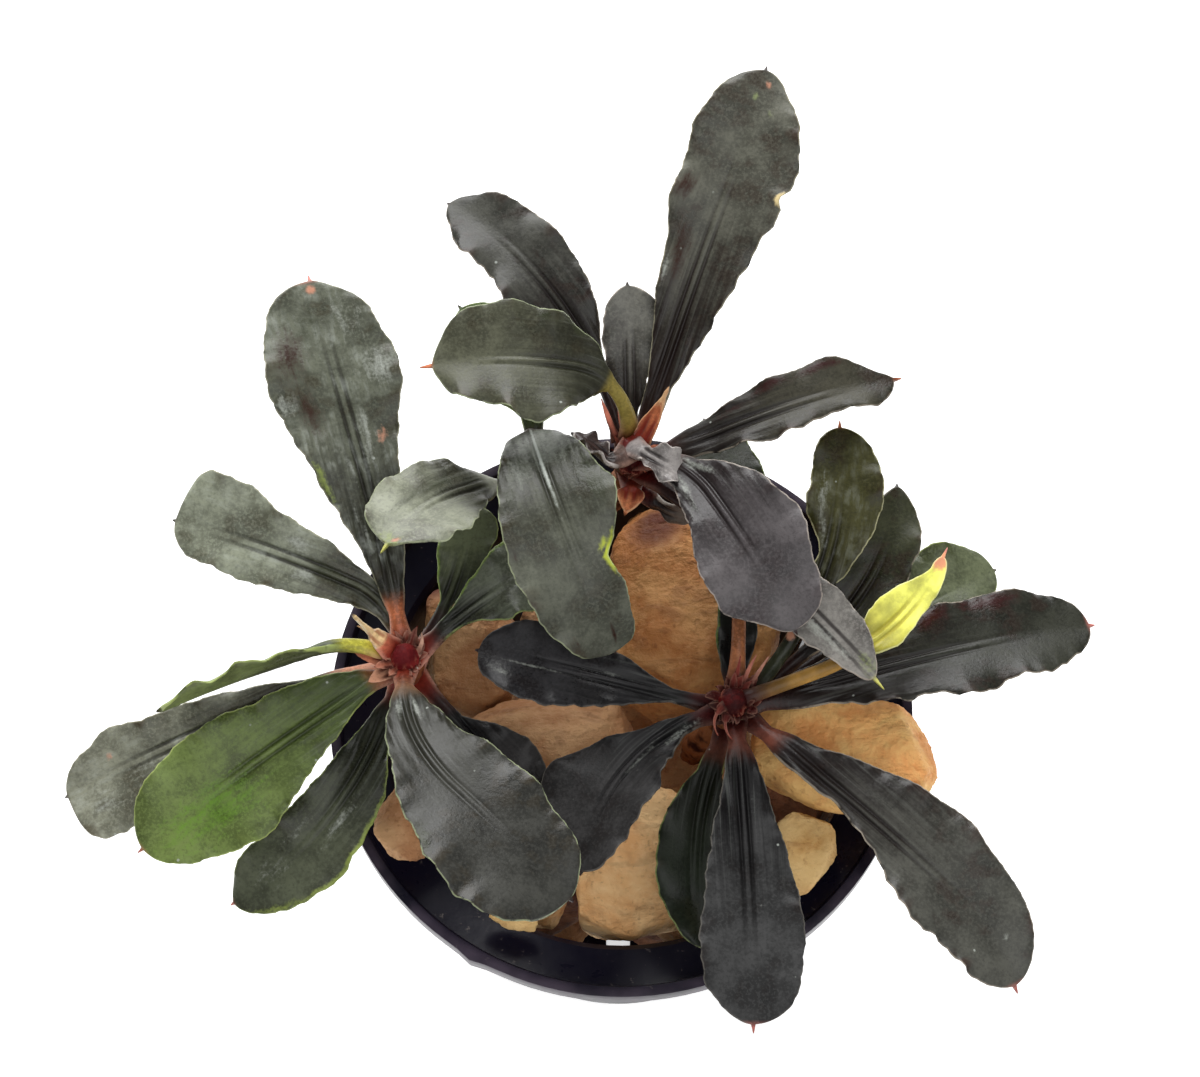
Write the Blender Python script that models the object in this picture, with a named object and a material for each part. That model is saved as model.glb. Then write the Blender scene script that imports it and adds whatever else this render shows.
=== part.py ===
"""A bucephalandra plant with three crowns, growing on stones in a small net pot.

The origin is the middle of the pot's underside, +Z points up, and the view of the
plant from the front looks along +Y. Sizes in the tables are millimetres and degrees.
"""

import math
import random
from dataclasses import dataclass

import bmesh
import bpy
from mathutils import Euler, Vector, noise

MM = 0.001

# Net pot, millimetres
POT_HEIGHT = 50.0
RIM_RADIUS = 27.5
LIP_WIDTH = 0.9
LIP_DROP = 2.4
LIP_STEP = 1.0
FLANGE_SLOPE = 0.8
MOUTH_RADIUS = 22.3
BASE_RADIUS = 18.6
WALL = 1.2
POT_SEGMENTS = 40
RIM_THICKENING = 0.6
MOUTH_ROUNDING = 0.5
LIP_ROUNDING = 0.3
SLOTS_AROUND = 20
SLOT_WIDTH = 2.6
SLOT_DEPTH = 9.0
SLOT_TIERS = ((5.0, 22.0), (26.0, 43.0))
BASE_SLOTS = 8
BASE_SLOT_REACH = (6.5, 14.5)
BASE_SLOT_HEIGHTS = (-2.0, 3.0)

# Creeping stems, millimetres
STEM_SIDES = 8
STEM_STEPS = 7
STEM_RADIUS = 1.45
KNOB_DEPTH = 0.06
KNOB_STEP = 2.4

# Stones, millimetres
STONE_GAP = 0.35
LIP_GAP = 1.0
STONE_FILL = 0.94
STONE_BUMP = 0.12
STONE_BUMP_RATE = 1.3
STONE_BUMP_SHIFT = (3.7, 1.9, 5.3)
STONE_PRESS = 1.15
CHIP_DEPTHS = (0.8, 0.94)
CHIP_SPREAD = (1.0, 1.0, 0.8)
CHIP_UPWARD = 0.3
MERGE_DISTANCE = 0.02
POT_FACET = 0.995

# Leaves, millimetres, and fractions of a leaf's or a blade's length
STALK_RADIUS = 0.62
BLADE_THICKNESS = 0.6
EDGE_SHARE = 0.6
TIP_LENGTH = 0.9
TIP_HALF_WIDTH = 0.22
TIP_RADIUS = 0.12
WAVE_FULL_WIDTH = 3.0
BASE_CLEARANCE = 2.2
FLAT_AFTER = 0.2
ROLL_AFTER = 0.35
ROUNDED_AFTER = 0.9
BLADE_STATIONS = (0.08, 0.2, 0.34, 0.48, 0.62, 0.75, 0.86, 0.94, 0.985)
SHEATH_STATIONS = (0.1, 0.3, 0.55, 0.8)
PATH_STEPS = 120

# Angles above which an edge is left sharp, degrees
POT_SHARP = 40.0
STONE_SHARP = 35.0
LEAF_SHARP = 60.0


@dataclass(frozen=True)
class Crown:
    """The head of a creeping stem, from which leaves fan out."""

    x: float
    y: float
    z: float


LEFT = Crown(-19.8, 1.8, 60.0)
RIGHT = Crown(10.2, -2.5, 60.0)
TOP = Crown(1.0, 20.7, 62.0)
MIDDLE = Crown(-8.3, 20.4, 56.5)


@dataclass(frozen=True)
class Leaf:
    """One leaf with its stalk.

    heading is the way the stalk leaves the crown, counted anticlockwise from +X seen
    from above, and swing is how far it has turned at the tip; the two values of turn
    are the fractions of the length between which it turns. rise is the slope at the
    crown and arch is how far the slope has dropped at the tip; late above 1 moves that
    bend towards the tip. lift is the height of the base above the crown point. A leaf
    that has no entry in OUTLINES takes an even blade from width, widest, taper and
    blunt.
    """

    name: str
    crown: Crown
    heading: float
    swing: float
    rise: float
    arch: float
    lift: float
    stalk: float
    blade: float
    width: float = 0.0
    widest: float = 0.62
    taper: float = 0.75
    blunt: float = 0.52
    roll: float = 0.0
    fold: float = 10.0
    late: float = 1.0
    ruffle: float = 0.45
    waves: float = 4.0
    reach: float = BASE_CLEARANCE
    turn: tuple = (0.0, 1.0)
    colour: str = "leaf_dark"


LEAVES = (
    Leaf("leaf_top_long", TOP, 68.2, 7.4, 39.6, 30.1, -1, 2.2, 34.2, roll=-3, turn=(0.7, 1)),
    Leaf("leaf_top_left", TOP, 109, 34.1, 34, 48, -1.8, 5.4, 24.2, roll=-1),
    Leaf("leaf_top_oval", TOP, 96.4, 85.4, 78.1, 92.1, 0.6, 6, 16.9, roll=1, late=0.62, turn=(0, 0.43),
         colour="leaf_green_grey"),
    Leaf("leaf_top_small", TOP, 91.2, 1.3, 45, 20, -3.4, 2.2, 13.3),
    Leaf("leaf_top_right", TOP, 5.8, 10.3, 31.5, 41.5, -1, 2.4, 21.3, roll=-6, turn=(0, 0.21)),
    Leaf("leaf_top_front", TOP, -23.1, -36.7, 35.9, 60, 0.6, 2.2, 20.6, roll=12, turn=(0, 0.33)),
    Leaf("leaf_top_front_under", TOP, -43, -5.2, 19, 27.9, -2, 5.9, 23.1, roll=-3),
    Leaf("leaf_top_curled_left", TOP, 230, -90, 25, 40, 2, 0.8, 5.6, width=3, widest=0.55, roll=40,
         fold=35, waves=2, reach=1.5, turn=(0, 0.35)),
    Leaf("leaf_top_curled_right", TOP, -20, 30, 35, 60, 2.4, 0.5, 4.6, width=4.2, widest=0.55, fold=35,
         waves=2, reach=0.8),
    Leaf("leaf_top_edge", TOP, -54.7, 53.9, 5.1, 16.2, -4.8, 1.2, 4.1, width=3, roll=70, fold=5,
         waves=2),
    Leaf("leaf_top_under_oval", MIDDLE, 89.5, 41.9, 24.7, 16.1, 0, 2.8, 13.8, width=4.6, widest=0.58,
         taper=0.76, blunt=0.56, turn=(0.1, 0.6), colour="leaf_green"),
    Leaf("leaf_middle_large", MIDDLE, -84.7, 25.8, 138.3, 197.5, 0.8, 7.5, 25.7, roll=2, late=0.6,
         reach=-1.5, colour="leaf_green_grey"),
    Leaf("leaf_middle_left", MIDDLE, 210.3, 29, 54.7, 42.9, 1.2, 4.5, 13.8, roll=12, late=1.13,
         turn=(0.3, 1), colour="leaf_green_grey"),
    Leaf("leaf_left_tall", LEFT, 101.6, 4.9, 20.2, 17.3, -1.4, 2.8, 32.2, roll=2, turn=(0.1, 0.4),
         colour="leaf_green_grey"),
    Leaf("leaf_left_outer", LEFT, 103.3, 58.5, 32, 38, -3.1, 1.4, 23.5, roll=-15, turn=(0, 0.3),
         colour="leaf_green_grey"),
    Leaf("leaf_left_narrow", LEFT, 164.9, 40, 24.8, 27.7, -1, 4, 17.3, width=6.5, taper=0.8, blunt=0.55,
         roll=78, turn=(0, 0.31), colour="leaf_green"),
    Leaf("leaf_left_dark", LEFT, -178.4, 20.8, 3, 21.1, -4.5, 4.2, 27.6, roll=-8, turn=(0, 0.2)),
    Leaf("leaf_left_bright", LEFT, -144.7, -0.5, 7.2, 29.7, -2, 1, 26.3, roll=-16, turn=(0.03, 1),
         colour="leaf_green"),
    Leaf("leaf_left_low", LEFT, -111.7, -43.7, 5.1, 37, -4, 1.5, 24.2, roll=-7, turn=(0.19, 1)),
    Leaf("leaf_left_front", LEFT, -89.6, 45.3, 37.6, 51.7, -0.5, 1.8, 27, roll=-14, turn=(0, 0.51),
         colour="leaf_green_grey"),
    Leaf("leaf_left_behind", LEFT, -47, 0, 5, 20, -4.5, 3.4, 12, width=7.5),
    Leaf("leaf_left_upright", LEFT, 55.5, 31.3, 20.1, 19.9, -4, 3.8, 10.9, colour="leaf_green"),
    Leaf("leaf_left_inner", LEFT, 35.3, -7.2, 26, 29.3, -1.5, 1.9, 13.2, turn=(0.23, 1),
         colour="leaf_green"),
    Leaf("leaf_right_inner", RIGHT, 169, -2, 15, 17, -3, 1.6, 20.2, width=8, widest=0.68, taper=0.62,
         blunt=0.42, roll=3),
    Leaf("leaf_right_low_left", RIGHT, -158.8, 60, 17.2, 28, -2, 1.4, 18.7, roll=30),
    Leaf("leaf_right_under", RIGHT, -114, 36, 2, 20, -5, 1.9, 17.8, width=7.3, widest=0.54, taper=0.77,
         blunt=0.62),
    Leaf("leaf_right_front", RIGHT, -87.1, -2.3, 19.9, 26, -1.5, 2.2, 25.7, roll=-6),
    Leaf("leaf_right_low", RIGHT, -42.6, -23.2, 13.8, 32.3, -2, 2.8, 30.8, roll=-12, turn=(0.67, 1)),
    Leaf("leaf_right_outer", RIGHT, 15.2, -2.7, 8.8, 19.3, -2.8, 2.9, 29.2, roll=-12),
    Leaf("leaf_right_up", RIGHT, 45.7, 42.9, 24.9, 20.2, -3.8, 6.8, 20.4, turn=(0.03, 0.84),
         colour="leaf_green"),
    Leaf("leaf_right_up_second", RIGHT, 39.3, 46.5, 19.9, 20.3, -5, 6, 19.5, turn=(0.34, 1)),
    Leaf("leaf_right_up_third", RIGHT, 35.6, -11.3, 10.9, 21.4, -6.3, 8.1, 19, turn=(0.02, 1),
         colour="leaf_green"),
    Leaf("leaf_right_young", RIGHT, 18.8, 44.2, 4.9, -9.7, 0.3, 10.5, 11.2, fold=25, ruffle=0.15,
         waves=2, turn=(0.26, 1), colour="leaf_yellow"),
    Leaf("leaf_right_back", RIGHT, 84, 23, 16, 28, -2.4, 6.9, 19.7, width=7.7, widest=0.61,
         colour="leaf_green"),
    Leaf("leaf_right_dark", RIGHT, 87, -3.3, 14.9, 15.1, -5, 1.6, 10.4),
)

SHEATHS = (
    Leaf("sheath_top_orange", TOP, 45, 10, 62, 12, 0.8, 0.6, 6.2, width=1.9, widest=0.35, fold=25,
         ruffle=0, reach=0.9, colour="sheath"),
    Leaf("sheath_top_front", TOP, -95, 60, 30, 40, -2.4, 0.5, 4.2, width=2.2, widest=0.40, fold=20,
         ruffle=0, colour="sheath"),
    Leaf("sheath_left_cream", LEFT, 152, -10, 55, 20, 0.2, 0.5, 3.6, width=1.2, widest=0.35, fold=25,
         ruffle=0, colour="sheath"),
)

# Half widths of a blade at even steps from its base to its tip, millimetres: the left
# side, then the right side. The end of every blade is rounded off to a point.
OUTLINES = {
    "leaf_top_long": (
        (0.6, 0.8, 1.4, 1.9, 2.5, 3, 3.4, 3.7, 4.3, 4.9, 4.7, 4.9, 5.1, 4.4, 3.9, 3.4),
        (0.7, 1, 1.7, 2.3, 2.8, 3.3, 3.8, 4.3, 4.6, 5.4, 5.7, 5.8, 5.4, 4.6, 3, 2.6),
    ),
    "leaf_top_left": (
        (0.6, 0.7, 1.2, 1.9, 2.7, 3.3, 3.8, 4.2, 4.2, 3.6, 3.3, 3.5, 3.6, 3, 2.1, 1.7),
        (0.7, 0.8, 1.2, 1.9, 2.7, 3.2, 3.6, 4, 4.1, 4.3, 4.2, 4.1, 3.8, 3.3, 2.4, 2),
    ),
    "leaf_top_oval": (
        (1, 2.4, 3.3, 4, 4.7, 5.6, 6.2, 6.4, 6.1, 5.2, 4.5, 4.3, 4.1, 3.5, 2.4, 1.6),
        (0.7, 1.4, 2.8, 3.7, 4.8, 5, 5.2, 5.6, 5.8, 5.8, 5.7, 5.5, 5.1, 4.4, 3.4, 2.1),
    ),
    "leaf_top_small": (
        (0.6, 0.6, 0.7, 1, 1.2, 1.5, 2, 2.3, 2.4, 2.5, 2.5, 2.4, 2.4, 2.1, 1.6, 1.2),
        (0.6, 0.6, 0.8, 1.2, 1.5, 1.6, 2, 2.3, 2.5, 2.6, 2.8, 2.9, 3, 2.8, 2.2, 1.9),
    ),
    "leaf_top_right": (
        (1, 1.5, 1.7, 1.9, 2.3, 2.7, 3.1, 3.3, 3.2, 3.4, 3.6, 3.6, 3.3, 2.5, 1.3, 0.8),
        (0.9, 1.3, 1.7, 2, 2.2, 2.5, 2.8, 2.7, 2.7, 2.4, 2.2, 2, 2.1, 2.5, 2.2, 1.5),
    ),
    "leaf_top_front": (
        (0.7, 1.2, 1.9, 2.9, 4, 4.7, 5, 5.4, 5.9, 5.8, 5.4, 4.9, 4.5, 4.1, 3.6, 3.2),
        (1, 1.7, 2.2, 2.8, 3.1, 3.2, 3.6, 4.4, 4.8, 5, 5, 5.1, 4.8, 3.4, 2.1, 1.6),
    ),
    "leaf_top_front_under": (
        (0.6, 0.7, 1, 1.5, 1.9, 2.3, 2.6, 2.8, 2.9, 3, 3.3, 3.2, 3, 2.4, 1.7, 1.3),
        (0.6, 0.7, 1, 1.5, 2, 2.4, 2.7, 2.8, 2.9, 2.5, 2.7, 2.6, 2.1, 1.8, 1.4, 1.2),
    ),
    "leaf_middle_large": (
        (0.6, 1.3, 2.3, 3.5, 4.4, 5, 5.7, 5.4, 4.6, 3.7, 3, 3.1, 3.2, 2.8, 2.6, 2.7),
        (0.6, 1.3, 2.3, 3.5, 4.4, 4.9, 5.3, 5.7, 5.9, 6, 5.8, 5.5, 5.1, 4.3, 3.5, 3.1),
    ),
    "leaf_middle_left": (
        (0.7, 1.5, 2.2, 2.8, 3.2, 3.7, 4.2, 4.6, 4.9, 5.1, 5.1, 5, 4.5, 3, 2.1, 1.8),
        (0.7, 2, 3.1, 4, 4.4, 4.4, 4.3, 4.5, 4.6, 4.6, 4.6, 4.5, 4.2, 3.8, 3.1, 2.2),
    ),
    "leaf_left_tall": (
        (0.7, 1.3, 1.7, 2.3, 3, 3.7, 4.3, 4.8, 5.5, 6.1, 6.5, 6.5, 6.1, 5.5, 4.8, 4.5),
        (0.8, 1.2, 1.8, 2.2, 2.6, 2.9, 3.4, 4, 4.6, 5.5, 6, 5.9, 5.3, 4.7, 3.4, 1.9),
    ),
    "leaf_left_outer": (
        (0.8, 1, 1.4, 1.8, 2.1, 2.3, 2.6, 2.9, 3.1, 3.4, 3.5, 3.3, 3.1, 3.1, 2.7, 2.4),
        (0.5, 0.6, 1, 1.3, 1.7, 2.2, 2.7, 3, 3.3, 3.6, 4.2, 5, 5.3, 5.4, 5.4, 5.7),
    ),
    "leaf_left_dark": (
        (0.6, 0.8, 1.4, 2.2, 3.2, 4, 4.6, 4.9, 5.1, 5.3, 5.5, 5.5, 5.5, 5.5, 5.6, 6.1),
        (0.6, 0.6, 1, 1.5, 2, 2.3, 2.7, 2.9, 3.2, 3.4, 3.4, 3.8, 4.1, 3.2, 2.6, 2.1),
    ),
    "leaf_left_bright": (
        (0.5, 0.9, 1.5, 2.2, 2.8, 3.4, 4, 4.8, 5.6, 6.1, 5.9, 5.5, 4.9, 4.2, 3.2, 2.8),
        (1, 2.1, 2.9, 3.5, 4, 4.3, 4.5, 5, 5.4, 5.5, 5.5, 5.2, 5, 4.3, 3.4, 2.7),
    ),
    "leaf_left_low": (
        (0.5, 0.5, 1, 1.9, 2.7, 3.3, 3.7, 3.9, 4.3, 4.6, 4.5, 4.2, 3.7, 3.1, 2.3, 1.6),
        (0.9, 1.3, 1.7, 2.2, 2.6, 2.8, 2.9, 3.2, 3.3, 3.3, 3.3, 3.3, 3.4, 3.1, 2.2, 1.6),
    ),
    "leaf_left_front": (
        (0.9, 1.9, 2.7, 3.3, 3.9, 4.4, 4.9, 5.2, 5.3, 5.3, 5.3, 4.8, 4.6, 4.1, 3.3, 2.3),
        (0.5, 1.3, 2.1, 2.6, 3.1, 3.8, 4.7, 5.6, 6.2, 7.1, 7.4, 7.6, 7.5, 6.8, 5.7, 5.2),
    ),
    "leaf_left_upright": (
        (0.5, 0.5, 0.8, 1.2, 1.6, 1.9, 2.1, 2.3, 2.5, 2.6, 2.7, 2.8, 2.7, 2.4, 1.9, 1.6),
        (0.6, 0.5, 0.8, 1.2, 1.6, 1.9, 2.1, 2.3, 2.5, 2.6, 2.7, 2.8, 2.8, 2.5, 2, 1.7),
    ),
    "leaf_left_inner": (
        (1, 1, 1.1, 1.4, 1.7, 2.1, 2.5, 2.8, 3.1, 3.4, 3.7, 3.8, 3.5, 3, 2.5, 2.2),
        (0.7, 0.7, 0.8, 1, 1.4, 1.9, 2.5, 3, 3.3, 3.5, 3.6, 3.6, 3.4, 3, 2.5, 2.2),
    ),
    "leaf_right_low_left": (
        (0.6, 0.7, 1.2, 1.9, 2.7, 3.5, 4.1, 4.6, 4.8, 4.8, 4.7, 4.5, 4.1, 3.7, 3.2, 3),
        (0.7, 0.8, 1.3, 1.8, 2.3, 3.1, 4.1, 5, 6, 6.7, 6.7, 6.3, 5.6, 4.8, 3.9, 3.4),
    ),
    "leaf_right_front": (
        (1, 1.5, 2, 2.4, 2.8, 3.1, 3.5, 3.9, 4.3, 4.5, 4.7, 4.8, 4.5, 4.1, 3.7, 3.4),
        (0.8, 1.2, 1.6, 2, 2.5, 3, 3.3, 3.7, 3.9, 4.2, 4.5, 4.6, 4.6, 4.1, 3.2, 2.5),
    ),
    "leaf_right_low": (
        (1, 1.7, 2.2, 3.2, 4.1, 4.7, 5.2, 5.6, 6.1, 6, 5.3, 5.2, 5, 4.2, 3.2, 2.7),
        (1, 1.3, 1.4, 1.4, 1.2, 1.7, 2.4, 2.7, 3.9, 4.8, 5.1, 4.6, 4.2, 4.1, 3.4, 2.6),
    ),
    "leaf_right_outer": (
        (1, 1.7, 2.3, 3, 3.6, 3.9, 3.8, 4, 4.8, 4.7, 5, 4.9, 4.7, 4.1, 3.6, 3.3),
        (1, 1.7, 2.3, 3, 3.7, 4.1, 4, 4.3, 5.3, 5.2, 4.5, 4.3, 4.5, 3.9, 3, 2.6),
    ),
    "leaf_right_up": (
        (0.6, 0.6, 0.5, 0.6, 0.8, 1.2, 0.9, 1.4, 2.2, 2.9, 3.1, 2.7, 2.6, 2.5, 2.1, 1.8),
        (0.7, 0.7, 0.7, 0.8, 1.3, 2, 2.6, 3.1, 3.6, 4, 4.1, 4.1, 3.9, 3.4, 2.6, 2.1),
    ),
    "leaf_right_up_second": (
        (0.6, 0.7, 1, 1.5, 2.1, 2.6, 3.1, 3.5, 3.7, 3.3, 3.1, 3.1, 2.9, 2.3, 1.5, 1),
        (0.6, 0.7, 1, 1.5, 2, 2.4, 2.8, 3, 3.2, 3.2, 3.1, 3.1, 2.9, 2.3, 1.5, 1),
    ),
    "leaf_right_up_third": (
        (0.6, 0.6, 0.8, 1.3, 1.7, 2.1, 2.5, 2.8, 3, 3.3, 4.1, 4.6, 4.4, 3.8, 3.2, 3.1),
        (0.6, 0.6, 0.8, 1.3, 1.8, 2.2, 2.7, 3.1, 3.4, 3.7, 3.8, 3.8, 3.6, 3.1, 2.5, 2.2),
    ),
    "leaf_right_young": (
        (0.7, 1.4, 1.8, 2.2, 2.3, 2.3, 2.3, 2.2, 2.1, 1.8, 1.4, 1.1, 0.7, 0.5, 0.5, 0.5),
        (0.6, 1, 1.4, 1.7, 1.8, 1.6, 1.5, 1.4, 1.3, 1.3, 1.2, 1.2, 1.2, 1, 0.8, 0.7),
    ),
    "leaf_right_dark": (
        (0.9, 1.2, 1.4, 1.6, 1.8, 1.9, 1.9, 1.9, 1.9, 2, 2, 1.9, 1.8, 1.5, 1.2, 1),
        (0.6, 1.1, 1.4, 1.6, 1.8, 1.9, 1.9, 1.9, 1.9, 2, 2, 1.9, 1.8, 1.6, 1.3, 1),
    ),
}


@dataclass(frozen=True)
class Stem:
    """A creeping stem: the points it passes through and its radius at each."""

    name: str
    points: tuple
    radii: tuple


STEMS = (
    Stem("rhizome_left", ((-18.4, 0.4, 43.0), (-18.8, 0.8, 49.0), (-19.6, 1.6, 55.0), (-19.8, 1.8, 60.6)),
         (1.1, 1.4, STEM_RADIUS, 1.2)),
    Stem("rhizome_right", ((7.0, -2.6, 43.0), (7.6, -2.6, 49.0), (9.7, -2.5, 54.5), (10.2, -2.5, 60.6)),
         (1.1, 1.4, STEM_RADIUS, 1.2)),
    Stem("rhizome_top", ((-4.8, 17.6, 43.0), (-4.0, 18.6, 49.0), (0.4, 20.5, 56.0), (1.0, 20.7, 62.6)),
         (1.1, 1.4, STEM_RADIUS, 1.2)),
    Stem("rhizome_middle", ((-9.6, 16.8, 43.0), (-9.4, 18.0, 48.0), (-8.5, 19.8, 52.5), (-8.3, 20.4, 57.1)),
         (1.0, 1.3, 1.3, 1.1)),
)


@dataclass(frozen=True)
class Stone:
    """An irregular stone: centre, half sizes, turn about Z and tilt about Y.

    detail sets how finely its surface is divided, square how blocky it is (2 is an
    ellipsoid), and chips how many flat faces are broken off it.
    """

    name: str
    centre: tuple
    half: tuple
    turn: float = 0.0
    tilt: float = 0.0
    seed: int = 0
    detail: int = 1
    colour: str = "stone_tan"
    square: float = 2.6
    chips: int = 5


STONES = (
    Stone("stone_back_slab", (6.6, 11.2, 44.6), (8.4, 11.4, 7.2), 0, 0, 1, 2, square=3.6, chips=3),
    Stone("stone_left", (-14.4, 7.6, 43.6), (5.6, 8.4, 7.2), 12, 0, 2, 1),
    Stone("stone_centre", (-7.4, -2.6, 44.4), (9.8, 5.4, 6.6), 4, 0, 3, 2),
    Stone("stone_front", (1.2, -13.8, 43.8), (8.2, 8.2, 7.2), 0, 0, 4, 2, square=3.0),
    Stone("stone_right_orange", (20.4, -5.6, 53.0), (10.0, 6.2, 2.8), -14, -9, 5, 2, "stone_orange", 3.2, 6),
    Stone("stone_pale", (15.4, -15.4, 51.9), (3.7, 5.8, 2.2), -42, 0, 6, 1, "stone_pale", 3.4),
    Stone("stone_left_front", (-18.8, -11.2, 51.8), (5.2, 4.3, 2.2), 58, 0, 7, 1),
    Stone("stone_chip", (-9.8, -20.4, 50.7), (2.9, 1.6, 1.2), -16, 0, 8, 1, "stone_pale"),
    Stone("stone_dark", (16.6, -8.0, 43.6), (4.4, 5.4, 5.6), 10, 0, 9, 1, "stone_dark"),
    Stone("stone_right_small", (10.6, -9.4, 43.8), (4.4, 7.8, 6.8), 14, 0, 10, 1),
    Stone("stone_left_low", (-16.0, -9.4, 43.2), (5.6, 6.0, 6.6), 30, 0, 11, 1, "stone_dark"),
    Stone("stone_front_left", (-8.4, -14.6, 43.4), (5.0, 7.2, 6.6), -20, 0, 12, 1),
    Stone("stones_lower_1", (0.5, 10.4, 27.4), (14.0, 11.0, 11.4), 0, 0, 13, 1, square=3.6, chips=3),
    Stone("stones_lower_2", (-9.4, -5.6, 27.4), (12.0, 12.4, 11.4), 20, 0, 14, 1, "stone_dark", 3.6, 3),
    Stone("stones_lower_3", (9.2, -6.6, 27.4), (12.0, 12.4, 11.4), 0, 0, 15, 1, square=3.6, chips=3),
    Stone("stones_lower_4", (-8.6, 0.6, 9.4), (10.6, 18.0, 9.4), 0, 0, 16, 1, square=3.6, chips=3),
    Stone("stones_lower_5", (8.4, -0.6, 9.4), (10.6, 18.0, 9.4), 0, 0, 17, 1, "stone_dark", 3.6, 3),
)

COLOURS = {
    "pot": ((0.012, 0.012, 0.022), 0.32),
    "leaf_dark": ((0.045, 0.05, 0.045), 0.4),
    "leaf_green_grey": ((0.075, 0.095, 0.07), 0.42),
    "leaf_green": ((0.06, 0.13, 0.025), 0.42),
    "leaf_yellow": ((0.62, 0.68, 0.12), 0.45),
    "sheath": ((0.52, 0.2, 0.09), 0.5),
    "stem": ((0.2, 0.02, 0.015), 0.5),
    "stone_tan": ((0.5, 0.3, 0.14), 0.8),
    "stone_orange": ((0.62, 0.3, 0.12), 0.75),
    "stone_pale": ((0.62, 0.45, 0.2), 0.8),
    "stone_dark": ((0.2, 0.08, 0.05), 0.85),
}


def material(name):
    """Return the Principled material of that colour, made at its first use."""
    found = bpy.data.materials.get(name)
    if found:
        return found
    made = bpy.data.materials.new(name)
    made.use_nodes = True
    shader = made.node_tree.nodes["Principled BSDF"]
    colour, roughness = COLOURS[name]
    shader.inputs["Base Color"].default_value = (*colour, 1.0)
    shader.inputs["Roughness"].default_value = roughness
    shader.inputs["Metallic"].default_value = 0.0
    return made


def add_object(name, bm, colour, sharp_angle):
    """Turn a bmesh in millimetres into a named object in metres."""
    bmesh.ops.scale(bm, vec=(MM, MM, MM), verts=bm.verts)
    bmesh.ops.recalc_face_normals(bm, faces=bm.faces)
    mesh = bpy.data.meshes.new(name)
    bm.to_mesh(mesh)
    bm.free()
    mesh.shade_smooth()
    mesh.set_sharp_from_angle(angle=math.radians(sharp_angle))
    mesh.materials.append(material(colour))
    made = bpy.data.objects.new(name, mesh)
    bpy.context.collection.objects.link(made)
    return made


def skin_rings(bm, rings):
    """Join rings of equal length into one closed skin with a cap at each end."""
    loops = [[bm.verts.new(point) for point in ring] for ring in rings]
    count = len(loops[0])
    for near, far in zip(loops, loops[1:]):
        for i in range(count):
            j = (i + 1) % count
            bm.faces.new((near[i], near[j], far[j], far[i]))
    bm.faces.new(loops[0][::-1])
    bm.faces.new(loops[-1])


def slope_frame(leaf, u):
    """Direction, left side and top side of a leaf at the fraction u of its length."""
    begin, end = leaf.turn
    turned = min(max((u - begin) / (end - begin), 0.0), 1.0)
    turn = math.radians(leaf.heading + leaf.swing * turned)
    slope = math.radians(leaf.rise - leaf.arch * u ** leaf.late)
    ahead = Vector((math.cos(slope) * math.cos(turn), math.cos(slope) * math.sin(turn), math.sin(slope)))
    side = Vector((-math.sin(turn), math.cos(turn), 0.0))
    above = ahead.cross(side)
    roll = math.radians(leaf.roll) * min(1.0, u / ROLL_AFTER)
    rolled_side = side * math.cos(roll) + above * math.sin(roll)
    return ahead, rolled_side, above * math.cos(roll) - side * math.sin(roll)


def leaf_path(leaf):
    """Points along the midrib, from the base of the stalk to the end of the blade."""
    start = math.radians(leaf.heading)
    crown = leaf.crown
    here = Vector((crown.x + leaf.reach * math.cos(start), crown.y + leaf.reach * math.sin(start),
                   crown.z + leaf.lift))
    step = (leaf.stalk + leaf.blade) / PATH_STEPS
    points = [here.copy()]
    for i in range(PATH_STEPS):
        here = here + slope_frame(leaf, (i + 0.5) / PATH_STEPS)[0] * step
        points.append(here.copy())
    return points


def path_point(points, u):
    """The point at the fraction u of a path."""
    place = min(max(u, 0.0), 1.0) * PATH_STEPS
    index = min(int(place), PATH_STEPS - 1)
    return points[index].lerp(points[index + 1], place - index)


def half_width(leaf, t, side):
    """Half the blade's width at the fraction t of the blade, on side 0, left, or 1, right."""
    if t <= 0.0 or t >= 1.0:
        return 0.0
    if leaf.name in OUTLINES:
        widths = OUTLINES[leaf.name][side]
        place = t * (len(widths) - 1)
        index = min(int(place), len(widths) - 2)
        width = widths[index] + (widths[index + 1] - widths[index]) * (place - index)
        rounding = max(0.0, (t - ROUNDED_AFTER) / (1.0 - ROUNDED_AFTER))
        return width * math.sqrt(1.0 - rounding ** 2)
    power = math.log(0.5) / math.log(leaf.widest)
    bulge = math.sin(math.pi * t ** power)
    return 0.5 * leaf.width * bulge ** (leaf.taper if t < leaf.widest else leaf.blunt)


def ruffles(leaf, seed):
    """The phases of the waves along the left and the right margin."""
    draw = random.Random(seed)
    return draw.uniform(0.0, math.tau), draw.uniform(0.0, math.tau)


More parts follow.
